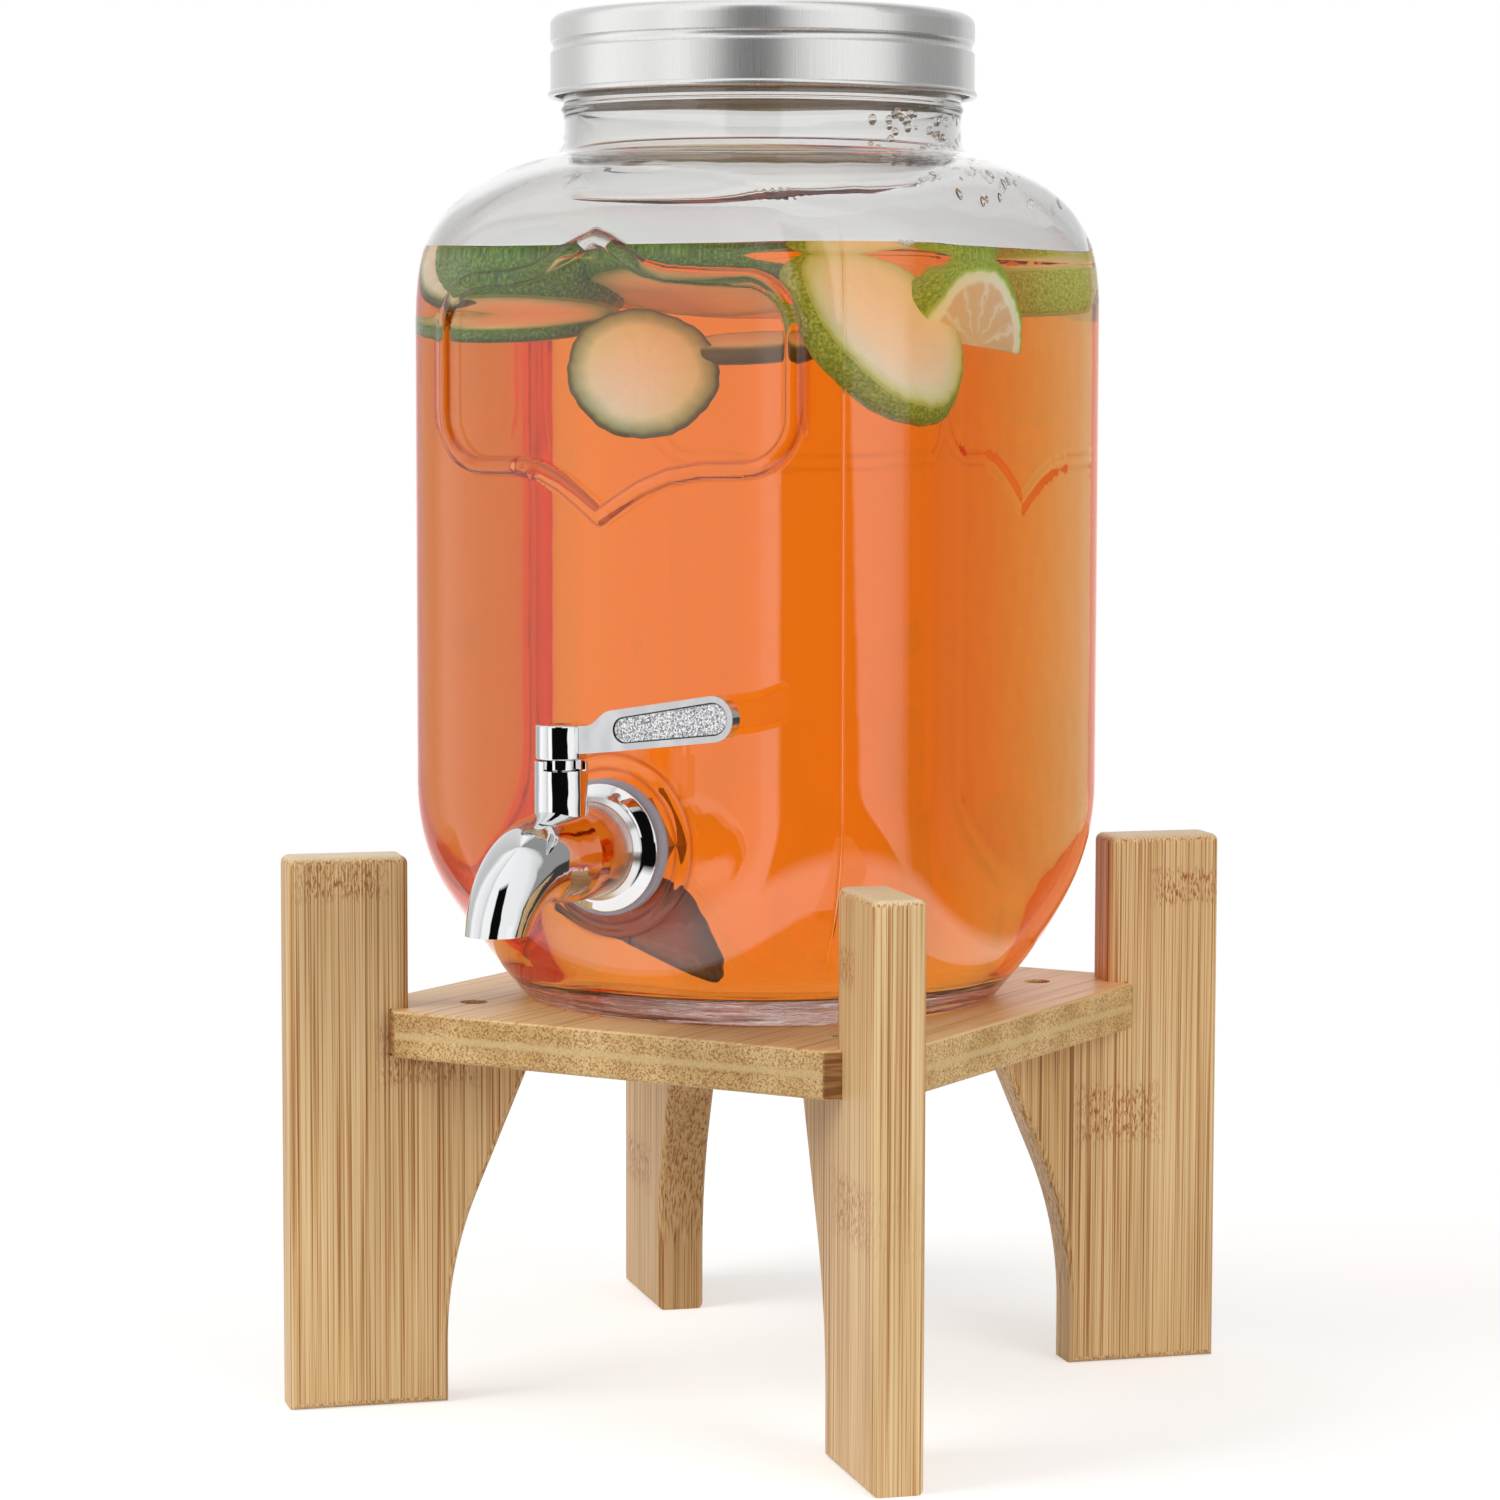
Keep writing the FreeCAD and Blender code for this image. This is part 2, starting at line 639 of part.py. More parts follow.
barrel = cylinder("barrel", "barrel_radius", "stem_out - " + BARREL_OUT, z=BARREL_OUT)
horn = spout_sweep("horn", "barrel_radius", "spout_radius")
shank = cylinder("shank", "shank_radius", "%s + %s" % (SHANK_BACK, SHOULDER_OUT), z="-" + SHANK_BACK)
shoulder = turned(
    "shoulder",
    [
        ("0", SHOULDER_OUT),
        ("ring_radius", SHOULDER_OUT),
        ("ring_radius", BARREL_OUT + " - ring_thick / 2"),
        ("barrel_radius", BARREL_OUT + " + ring_thick / 2"),
        ("0", BARREL_OUT + " + ring_thick / 2"),
    ],
)
collar = cylinder("collar", "collar_radius", "collar_tall", STEM_TURN, z="stem_out")
casting = fused("casting", barrel, horn, shank, shoulder, collar)

waterway = cylinder(
    "waterway", "bore_radius", "%s + stem_out + cut_over" % SHANK_BACK, z="-%s - cut_over" % SHANK_BACK
)
spout_bore = spout_sweep("spout_bore", "bore_radius", "bore_radius + bore_flare")
chamber = cylinder(
    "chamber", PLUG_BORE, "plug_low + collar_tall + cut_over", STEM_TURN, y="-plug_low", z="stem_out"
)
snap_groove = cylinder(
    "snap_groove", "snap_radius", "snap_thick", STEM_TURN, y="plug_high + end_gap", z="stem_out"
)
tip_cut = block(
    "tip_cut",
    "4 * spout_radius",
    "4 * spout_radius",
    "4 * spout_radius",
    x="-2 * spout_radius",
    y="-spout_drop - 4 * spout_radius",
    z="stem_out + spout_straight + spout_bend * sin(spout_turn) - 2 * spout_radius",
)
# The notch spans the lever's quarter turn and the stop tab's own width at both ends
tab_middle = "((hub_radius + stem_radius) / 2)"
tab_angle = "(2 * asin((tab_wide / 2 + tab_gap) / %s))" % tab_middle
notch = doc.addObject("Part::Cylinder", "notch")
bind(notch, Radius="collar_radius + cut_over", Height="notch_tall + cut_over", Angle="90 deg + " + tab_angle)
notch_lead = size(tab_angle + " / 2")
notch.Placement = Placement(Vector(0, 0, 0), STEM_TURN * Rotation(Vector(0, 0, 1), -90 - notch_lead))
notch.setExpression("Placement.Base.y", cells("collar_tall - notch_tall"))
notch.setExpression("Placement.Base.z", cells("stem_out"))
tap_cuts = fused("tap_cuts", waterway, spout_bore, chamber, snap_groove, tip_cut, notch)
at_tap(cut("spigot_body", casting, tap_cuts))

flange = turned(
    "spigot_flange",
    [
        ("shank_radius", "0"),
        ("flange_radius", "0"),
        ("flange_radius", "flange_rim"),
        ("flange_radius - flange_dish", "flange_rim + flange_dish"),
        ("ring_radius + flange_dish", "flange_rim + flange_dish"),
        ("ring_radius", "flange_thick"),
        ("shank_radius", "flange_thick"),
    ],
)
at_tap(flange, "gasket_thick")
at_tap(ring("outer_gasket", "gasket_radius", "shank_radius", "gasket_thick"))
at_tap(
    ring("inner_gasket", "inner_gasket_radius", "shank_radius", "gasket_thick"),
    "(-%s - gasket_thick)" % GLASS_AT_TAP,
)
at_tap(
    ring("nut_washer", "washer_radius", "shank_radius", "washer_thick"),
    "(-%s - gasket_thick - washer_thick)" % GLASS_AT_TAP,
)
nut_blank = doc.addObject("Part::Prism", "nut_blank")
nut_blank.Polygon = 6
bind(nut_blank, Circumradius="nut_across / sqrt(3)", Height="nut_thick")
nut_bore = cylinder("nut_bore", "shank_radius", "nut_thick + 2 * cut_over", z="-cut_over")
at_tap(cut("lock_nut", nut_blank, nut_bore), "(-%s)" % NUT_BACK)
snap_ring = ring("stem_retaining_ring", "snap_radius", "stem_radius + end_gap", "snap_thick")
at_stem(snap_ring, "plug_high + end_gap")

# ---- Valve plug and lever -------------------------------------------------------------------------------
# Drawn about the stem's axis: z = 0 is the tap's axis, and the lever points to +X, which shuts the tap.


def seal_groove(middle):
    """The four corners of a square groove in the plug, below and above its middle."""
    low = "%s - seal_wire / 2" % middle
    high = "%s + seal_wire / 2" % middle
    floor = "plug_radius - seal_wire"
    return [("plug_radius", low), (floor, low), (floor, high), ("plug_radius", high)]


plug_blank = turned(
    "plug_blank",
    [("0", "-plug_low + end_gap"), ("plug_radius", "-plug_low + end_gap")]
    + seal_groove("seal_low")
    + seal_groove("seal_high")
    + [
        ("plug_radius", "plug_high"),
        ("stem_radius", "plug_high"),
        ("stem_radius", "stem_tall"),
        ("0", "stem_tall"),
    ],
)
cross_bore = cylinder(
    "cross_bore",
    "bore_radius",
    "2 * (plug_radius + cut_over)",
    Rotation(Vector(0, 1, 0), 90),
    x="-plug_radius - cut_over",
)
hub_high = "(%s + hub_tall)" % HUB_LOW
screw_bore = cylinder(
    "screw_bore", "lever_screw_dia / 2", "lever_screw_long", z=hub_high + " - lever_screw_long"
)
at_stem(cut("valve_plug", plug_blank, fused("plug_cuts", cross_bore, screw_bore)))


def seal(label, middle):
    item = doc.addObject("Part::Torus", label)
    bind(item, Radius1="plug_radius - seal_wire / 2", Radius2="seal_wire / 2")
    return at_stem(item, middle)


seal("stem_o_ring_lower", "seal_low")
seal("stem_o_ring_upper", "seal_high")

hub = turned(
    "hub",
    [
        ("0", HUB_LOW),
        ("hub_radius - hub_round", HUB_LOW, "hub_round", 1),
        ("hub_radius", HUB_LOW + " + hub_round"),
        ("hub_radius", hub_high + " - hub_round", "hub_round", 1),
        ("hub_radius - hub_round", hub_high),
        ("0", hub_high),
    ],
)
end_x = size("paddle_reach")
end_z = size("paddle_lift")
end_r = size("paddle_radius")


def touch(x, z, centre_x, centre_z, radius, side):
    """Where a line from a point touches a circle, on the upper side (1) or the lower side (-1)."""
    dx, dz = centre_x - x, centre_z - z
    away = math.hypot(dx, dz)
    turn = math.atan2(dz, dx) + side * math.asin(radius / away)
    run = math.sqrt(away**2 - radius**2)
    return Vector(x + run * math.cos(turn), 0, z + run * math.sin(turn))


def arm_face():
    """The arm's side view: rises from the hub, deepens to the paddle and ends round."""
    low = Vector(size("arm_root"), 0, size("arm_bottom"))
    high = Vector(size("arm_root"), 0, size("arm_top"))
    root_low = Vector(0, 0, size("2 * hub_round"))
    root_high = Vector(0, 0, size("hub_tall - hub_round"))
    neck_high = Vector(size("arm_level"), 0, size("hub_tall"))
    rise = math.atan2(end_z - size("arm_bottom + paddle_radius"), end_x - low.x)
    ease = Vector(math.cos(rise), 0, math.sin(rise)) * size("arm_ease")
    low_touch = touch(low.x, low.z, end_x, end_z, end_r, -1)
    high_touch = touch(high.x, high.z, end_x, end_z, end_r, 1)
    tip = Vector(end_x + end_r, 0, end_z)
    hollow = Part.BezierCurve()
    hollow.setPoles([neck_high, neck_high + ease, high - ease, high])
    edges = [
        Part.LineSegment(root_low, low).toShape(),
        Part.LineSegment(low, low_touch).toShape(),
        Part.Arc(low_touch, tip, high_touch).toShape(),
        Part.LineSegment(high_touch, high).toShape(),
        hollow.toShape(),
        Part.LineSegment(neck_high, root_high).toShape(),
        Part.LineSegment(root_high, root_low).toShape(),
    ]
    return Part.Face(Part.Wire(edges))


def pad_face():
    """The sunk pad's outline: two round ends of different radius and the lines that touch both."""
    near = Vector(size("pad_start"), 0, size("pad_lift"))
    far = Vector(end_x, 0, end_z)
    small = size("pad_small")
    large = end_r - size("pad_rim")
    along = (far - near).normalize()
    tilt = math.asin((large - small) / (far - near).Length)
    up = Vector(-along.z, 0, along.x)
    lean_high = up * math.cos(tilt) - along * math.sin(tilt)
    lean_low = -up * math.cos(tilt) - along * math.sin(tilt)
    edges = [
        Part.LineSegment(near + lean_high * small, far + lean_high * large).toShape(),
        Part.Arc(far + lean_high * large, far + along * large, far + lean_low * large).toShape(),
        Part.LineSegment(far + lean_low * large, near + lean_low * small).toShape(),
        Part.Arc(near + lean_low * small, near - along * small, near + lean_high * small).toShape(),
    ]
    return Part.Face(Part.Wire(edges))


# The arm's curved side view fits no sketch of lines and arcs, so its plate is made with Part's own functions
arm_shape = arm_face().extrude(Vector(0, size("arm_thick"), 0))
arm_shape.translate(Vector(0, -size("arm_thick") / 2, size(HUB_LOW)))
arm = doc.addObject("Part::Feature", "arm")
arm.Shape = arm_shape
pads = []
for name, front in (("front", -1), ("back", 1)):
    recess = pad_face().extrude(Vector(0, front * size("pad_deep") * 2, 0))
    recess.translate(Vector(0, front * (size("arm_thick") / 2 - size("pad_deep")), size(HUB_LOW)))
    pad = doc.addObject("Part::Feature", "pad_" + name)
    pad.Shape = recess
    pads.append(pad)
tab = block(
    "tab",
    "hub_radius - stem_radius - 2 * tab_inset",
    "tab_wide",
    "notch_tall - tab_gap + end_gap + cut_over",
    x="stem_radius + tab_inset",
    y="-tab_wide / 2",
    z="collar_tall - notch_tall + tab_gap",
)
stem_socket = cylinder(
    "stem_socket", "stem_radius", "stem_tall - %s + cut_over" % HUB_LOW, z=HUB_LOW + " - cut_over"
)
screw_hole = cylinder("screw_hole", "lever_screw_dia / 2", "hub_tall + cut_over", z=HUB_LOW)
head_deep = "(lever_screw_head - lever_screw_dia) / 2"
head_sink = doc.addObject("Part::Cone", "head_sink")
bind(head_sink, Radius1="lever_screw_dia / 2", Radius2="lever_screw_head / 2", Height=head_deep)
place(head_sink, z=hub_high + " - " + head_deep)
handle_solid = fused("handle_solid", hub, arm, tab)
handle_cuts = fused("handle_cuts", stem_socket, screw_hole, head_sink, *pads)
at_stem(cut("lever_handle", handle_solid, handle_cuts))

lever_screw_blank = turned(
    "lever_screw_blank",
    [
        ("0", "-lever_screw_long"),
        ("lever_screw_dia / 2", "-lever_screw_long"),
        ("lever_screw_dia / 2", "-" + head_deep),
        ("lever_screw_head / 2", "0"),
        ("0", "0"),
    ],
)
drive = bind(
    doc.addObject("Part::Prism", "drive"), Circumradius="lever_screw_dia / 2", Height="drive_deep + cut_over"
)
drive.Polygon = 6
place(drive, z="-drive_deep")
at_stem(cut("lever_screw", lever_screw_blank, drive), hub_high)

# ---- Lid ------------------------------------------------------------------------------------------------

GROOVE_MIDDLE = "(lid_tall - groove_drop)"
GROOVE_ROUND = "((groove_tall^2 / 4 + groove_deep^2) / (2 * groove_deep))"
inner_lid = "(lid_radius - lid_sheet)"
cap_sheet = turned(
    "cap_sheet",
    [
        (inner_lid, "curl_radius"),
        ("lid_radius", "curl_radius"),
        ("lid_radius", GROOVE_MIDDLE + " - groove_tall / 2", GROOVE_ROUND, -1),
        ("lid_radius", GROOVE_MIDDLE + " + groove_tall / 2"),
        ("lid_radius", "lid_tall - lid_round", "lid_round", 1),
        ("lid_radius - lid_round", "lid_tall"),
        ("0", "lid_tall"),
        ("0", "lid_tall - lid_sheet"),
        ("lid_radius - lid_round", "lid_tall - lid_sheet", "lid_round - lid_sheet", -1),
        (inner_lid, "lid_tall - lid_round"),
        (inner_lid, GROOVE_MIDDLE + " + groove_tall / 2", GROOVE_ROUND, 1),
        (inner_lid, GROOVE_MIDDLE + " - groove_tall / 2"),
    ],
)
curl = bind(doc.addObject("Part::Torus", "curl"), Radius1="lid_radius - lid_sheet / 2", Radius2="curl_radius")
place(curl, z="curl_radius")
lid_thread = helix_ridge(
    "lid_thread",
    inner_lid,
    LID_THREAD_DEEP,
    "lid_thread_base",
    "lid_thread_crest",
    "%s + %s - pitch / 2 - %s" % (SEAT, THREAD_LOW, LID_LOW),
    True,
)
place(fused("lid_cap", cap_sheet, curl, lid_thread), z=LID_LOW)
cylinder("lid_liner", "lid_radius - lid_round - liner_gap", "liner_thick", z=MOUTH)

# ---- Checks and output ----------------------------------------------------------------------------------

NODES = ["shelf_board", "glass_jar", "spigot_body", "spigot_flange", "outer_gasket", "inner_gasket"]
NODES += ["nut_washer", "lock_nut", "stem_retaining_ring", "valve_plug", "stem_o_ring_lower"]
NODES += ["stem_o_ring_upper", "lever_handle", "lever_screw", "lid_cap", "lid_liner"]
for quarter, angle in QUARTERS:
    NODES += ["leg_" + quarter, "leg_screw_" + quarter]

doc.recompute()
for item in doc.Objects:
    if "Invalid" in item.State or "Error" in item.State:
        raise RuntimeError("%s failed: %s" % (item.Label, item.State))
os.makedirs("parts", exist_ok=True)
for node in NODES:
    found = doc.getObjectsByLabel(node)
    if len(found) != 1:
        raise RuntimeError("%s is not one object" % node)
    shape = found[0].Shape
    if shape.isNull() or not shape.isValid() or len(shape.Solids) != 1:
        raise RuntimeError("%s is not one valid solid" % node)
    shape.exportStep("parts/%s.step" % node)
    box = shape.BoundBox
    print("%-22s %9.0f mm3  x %7.1f %7.1f  y %7.1f %7.1f  z %7.1f %7.1f" % (
        node, shape.Volume, box.XMin, box.XMax, box.YMin, box.YMax, box.ZMin, box.ZMax))
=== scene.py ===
from functools import partial

import bmesh
import bpy
import numpy as np
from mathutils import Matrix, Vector


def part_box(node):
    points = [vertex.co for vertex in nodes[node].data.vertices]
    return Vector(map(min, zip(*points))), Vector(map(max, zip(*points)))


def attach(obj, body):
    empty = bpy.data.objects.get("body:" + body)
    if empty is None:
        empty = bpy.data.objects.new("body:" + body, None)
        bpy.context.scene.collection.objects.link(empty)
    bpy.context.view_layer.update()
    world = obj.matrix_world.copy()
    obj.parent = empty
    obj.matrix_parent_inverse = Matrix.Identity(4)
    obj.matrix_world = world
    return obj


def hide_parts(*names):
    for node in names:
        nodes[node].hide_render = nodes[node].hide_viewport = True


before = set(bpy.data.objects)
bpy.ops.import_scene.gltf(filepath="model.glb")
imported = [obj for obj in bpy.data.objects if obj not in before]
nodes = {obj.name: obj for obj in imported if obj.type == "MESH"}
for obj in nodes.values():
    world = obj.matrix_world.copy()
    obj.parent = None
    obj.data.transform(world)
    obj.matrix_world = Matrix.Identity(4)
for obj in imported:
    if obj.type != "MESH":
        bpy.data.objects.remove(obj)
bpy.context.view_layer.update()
scene = bpy.context.scene
scene.view_settings.view_transform = "Standard"
scene.cycles.max_bounces = 28
scene.cycles.transmission_bounces = 28
scene.cycles.glossy_bounces = 12

# Studio. A still camera with a long lens stands a little above the tap and right of the front. The
# floor is white paper that keeps a soft shadow, and the room is white with two dark gaps between its
# light screens, which stripe the polished metal.
CAMERA_PLACE = (0.574975, -1.004145, 0.275410)
CAMERA_TURN = np.radians((84.9332, -0.12936, 29.9517))
LENS = 102.843
FLOOR_SIDE = 12.0
FLOOR_GLOW = 0.46
SHADOW_NEAR = 0.22
SHADOW_FAR = 0.75
TABLE_EDGE = (0.30, 0.42)
ROOM_LEVEL = 0.50
CAMERA_AZIMUTH = -60.0
SCREEN_LEVEL = 1.25
SCREENS = (
    (-180, "FFFFFF"), (-168, "FFFFFF"), (-156, "CCCCCC"), (-136, "B8B8B8"), (-128, "B0B0B0"),
    (-115, "B0B0B0"), (-106, "E4E4E4"), (-100, "FFFFFF"), (-66, "E4E4E4"), (-60, "C6C6C6"), (-52, "FFFFFF"),
    (30, "F4F4F4"), (60, "F0F0F0"), (77, "C8C8C8"), (80, "343434"), (118, "3C3C3C"), (122, "505050"),
    (131, "505050"), (137, "C4C4C4"), (156, "CCCCCC"), (168, "FFFFFF"), (180, "FFFFFF"),
)
GAP_LEFT = -40.0
GAP_RIGHT = 24.0
GAP_LEAN = 109.0
GAP_EDGE = 2.5
HIGH_FROM = (0.0, 0.05)
HIGH_LEFT = 17.0
HIGH_RIGHT = 12.0
GAP_TOP = 0.72
GAP_TOP_EDGE = 0.05
HIGH_LIGHT = 0.35
DEEP_FROM = (4.5, 5.5)
DEEP_SCREENS = 0.25
SOFTBOXES = (("key_softbox", (-0.9, -1.2, 1.3), 14.0), ("fill_softbox", (1.5, -0.5, 0.8), 9.0))
SOFTBOX_SIDE = 1.0
SOFTBOX_AIM = (0, 0, 0.2)
CHOICES = {"Math": "operation", "VectorMath": "operation", "Mix": "data_type",
           "MapRange": "interpolation_type"}


def colour(code):
    """The linear colour of an sRGB hex value: a twelfth of the dark end, and a power of 2.4 above it."""
    parts = np.array([int(code[i:i + 2], 16) for i in (0, 2, 4)]) / 255
    linear = np.where(parts <= 0.04045, parts / 12.92, ((parts + 0.055) / 1.055) ** 2.4)
    return (*linear.tolist(), 1.0)


def add_node(tree, kind, stops=(), **values):
    """Adds a shader node. Its kind may be followed by its main choice. A name in small letters is one of
    its settings. Any other is a socket, with _ for each space, or _ and its number, and takes a value, a
    hex colour, an output to link, or a node, whose first output in use is linked. stops are a colour
    ramp's places and hex colours."""
    kind, _, choice = kind.partition(" ")
    node = tree.nodes.new("ShaderNode" + kind)
    if choice:
        setattr(node, CHOICES[kind], choice)
    for name in [name for name in values if name[0].islower()]:
        setattr(node, name, values.pop(name))
    for name, value in values.items():
        key = int(name[1:]) if name[0] == "_" else name.replace("_", " ")
        if isinstance(value, bpy.types.Node):
            value = next(output for output in value.outputs if output.enabled)
        if isinstance(value, bpy.types.NodeSocket):
            tree.links.new(value, node.inputs[key])
        else:
            node.inputs[key].default_value = colour(value) if isinstance(value, str) else value
    if stops:
        points = node.color_ramp.elements
        for _ in stops[2:]:
            points.new(0.5)
        for point, (place, code) in zip(points, stops):
            point.position = place
            point.color = colour(code)
    return node


def new_nodes(name, kind=bpy.data.materials):
    """A new material, or a world, without nodes, and the function that adds nodes to it."""
    owner = kind.new(name)
    owner.use_nodes = True
    owner.node_tree.nodes.clear()
    return owner, partial(add_node, owner.node_tree)


def paper_floor():
    """Matt white paper. Near the object it shows the light that falls on it, and further out the eye
    sees plain white, mixed in by the distance from the middle. A mirror image shows it no further out
    than the table's edge."""
    material, add = new_nodes("white_floor_paper")
    place = add("TexCoord").outputs["Object"]
    distance = add("VectorMath LENGTH", _0=place)
    far = add("MapRange SMOOTHSTEP", _0=distance, From_Min=SHADOW_NEAR, From_Max=SHADOW_FAR)
    path = add("LightPath")
    seen = add("Math MAXIMUM", _0=path.outputs["Is Glossy Ray"], _1=path.outputs["Is Transmission Ray"])
    seen = add("Math MAXIMUM", _0=path.outputs["Is Camera Ray"], _1=seen)
    paper = add("BsdfDiffuse", Color="E6E6E6")
    glow = add("Emission", Color="FFFFFF", Strength=FLOOR_GLOW)
    lit = add("AddShader", _0=paper, _1=glow)
    white = add("Emission", Color="FFFFFF")
    blended = add("MixShader", _0=far, _1=lit, _2=white)
    mixed = add("MixShader", _0=seen, _1=paper, _2=blended)
    edge = add("MapRange", _0=distance, From_Min=TABLE_EDGE[0], From_Max=TABLE_EDGE[1])
    gone = add("Math MULTIPLY", _0=edge, _1=path.outputs["Is Glossy Ray"])
    open_air = add("BsdfTransparent")
    whole = add("MixShader", _0=gone, _1=mixed, _2=open_air)
    add("OutputMaterial", Surface=whole)
    return material


def white_room():
    """The room by azimuth: white screens and dark gaps for metal and glass, paler after many passes
    through glass, white for the eye, and one even level for light that falls on matt surfaces."""
    world, add = new_nodes("white_room", bpy.data.worlds)
    way = add("SeparateXYZ", _0=add("TexCoord").outputs["Generated"])
    turn = add("Math ARCTAN2", _0=way.outputs["Y"], _1=way.outputs["X"])
    around = add("Math MULTIPLY_ADD", _0=turn, _1=0.5 / np.pi, _2=0.5 - CAMERA_AZIMUTH / 360)
    around = add("Math FRACT", _0=around)
    stops = [((angle + 180) / 360, code) for angle, code in SCREENS]
    screens = add("ValToRGB", _0=around, stops=stops)
    side = add("Math MULTIPLY_ADD", _0=around, _1=360.0, _2=-180.0)
    high = add("MapRange", _0=way.outputs["Z"], From_Min=HIGH_FROM[0], From_Max=HIGH_FROM[1])
    below = add("Math MINIMUM", _0=way.outputs["Z"], _1=0.0)
    lean = add("Math MULTIPLY_ADD", _0=below, _1=GAP_LEAN, _2=side)
    lean = add("Math MULTIPLY_ADD", _0=high, _1=HIGH_RIGHT, _2=lean)
    left = add("Math MULTIPLY_ADD", _0=high, _1=-HIGH_LEFT, _2=side)
    past = add("MapRange", _0=left, From_Min=GAP_LEFT, From_Max=GAP_LEFT + GAP_EDGE)
    short = add("MapRange", _0=lean, From_Min=GAP_RIGHT, From_Max=GAP_RIGHT - GAP_EDGE)
    under = add("MapRange", _0=way.outputs["Z"], From_Min=GAP_TOP + GAP_TOP_EDGE, From_Max=GAP_TOP)
    gap = add("Math MULTIPLY", _0=past, _1=short)
    gap = add("Math MULTIPLY", _0=gap, _1=under)
    lighter = add("Math MULTIPLY", _0=high, _1=HIGH_LIGHT)
    screens = add("Mix RGBA", _0=lighter, _6=screens, _7="D8D8D8")
    screens = add("Mix RGBA", _0=gap, _6=screens, _7="0A0A0A")
    mirror = add("Background", Color=screens, Strength=SCREEN_LEVEL)
    path = add("LightPath")
    share = add("MapRange", _0=path.outputs["Transmission Depth"], From_Min=DEEP_FROM[0],
                From_Max=DEEP_FROM[1], To_Min=1.0, To_Max=DEEP_SCREENS)
    behind = add("Mix RGBA", _0=share, _6="FFFFFF", _7=screens)
    through = add("Background", Color=behind)
    soft = add("Background", Color="FFFFFF", Strength=ROOM_LEVEL)
    seen = add("Background", Color="FFFFFF")
    inner = add("MixShader", _0=path.outputs["Is Glossy Ray"], _1=soft, _2=mirror)
    inner = add("MixShader", _0=path.outputs["Is Transmission Ray"], _1=inner, _2=through)
    whole = add("MixShader", _0=path.outputs["Is Camera Ray"], _1=inner, _2=seen)
    add("OutputWorld", Surface=whole)
    return world


camera = bpy.data.objects.new("camera", bpy.data.cameras.new("camera"))
camera.data.lens = LENS
camera.data.sensor_width = 36.0
camera.location = CAMERA_PLACE
camera.rotation_mode = "XYZ"
camera.rotation_euler = CAMERA_TURN
scene.collection.objects.link(camera)
scene.camera = camera

corners = np.array([(-1, -1, 0), (1, -1, 0), (1, 1, 0), (-1, 1, 0)]) * FLOOR_SIDE / 2
floor_mesh = bpy.data.meshes.new("floor")
floor_mesh.from_pydata(corners.tolist(), [], [(0, 1, 2, 3)])
floor_mesh.materials.append(paper_floor())
floor = bpy.data.objects.new("floor", floor_mesh)
scene.collection.objects.link(floor)

scene.world = white_room()
for name, place, watts in SOFTBOXES:
    lamp = bpy.data.lights.new(name, "AREA")
    lamp.size = SOFTBOX_SIDE
    lamp.energy = watts
    holder = bpy.data.objects.new(name, lamp)
    holder.location = place
    holder.rotation_euler = (Vector(SOFTBOX_AIM) - Vector(place)).to_track_quat("-Z", "Y").to_euler()
    holder.visible_glossy = False
    holder.visible_transmission = False
    scene.collection.objects.link(holder)

# Stand legs. Four planks of laminated bamboo on the diagonals, with an arch cut under the bracket that
# carries the shelf. They are sanded, their edges rounded, and finished with satin lacquer.
MM = 0.001
FIBRE_GAP = 0.46 * MM
FIBRE_LENGTH = 130 * MM
DASH_LENGTH = 2.4 * MM
STRIP_WIDTH = 19 * MM
LEG_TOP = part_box("leg_front_left")[1].z
LEGS = {  # the turn in degrees, the two joints and the painted shade tint, darker on the back left leg, which gets less light
    "front_left": (225, ((116, 142, 12, 6), (93, 94, 13, 8)), "FFFDF8"),
    "front_right": (315, ((112, 68, 16, 8), (104, 128, 10, 5)), "FFFDF8"),
    "back_left": (135, ((96, 118, 14, 6), (112, 40, 16, 7)), "EEE6DA"),
    "back_right": (45, ((101, 70, 12, 8), (121, 133, 10, 5)), "FFFBF4"),
}


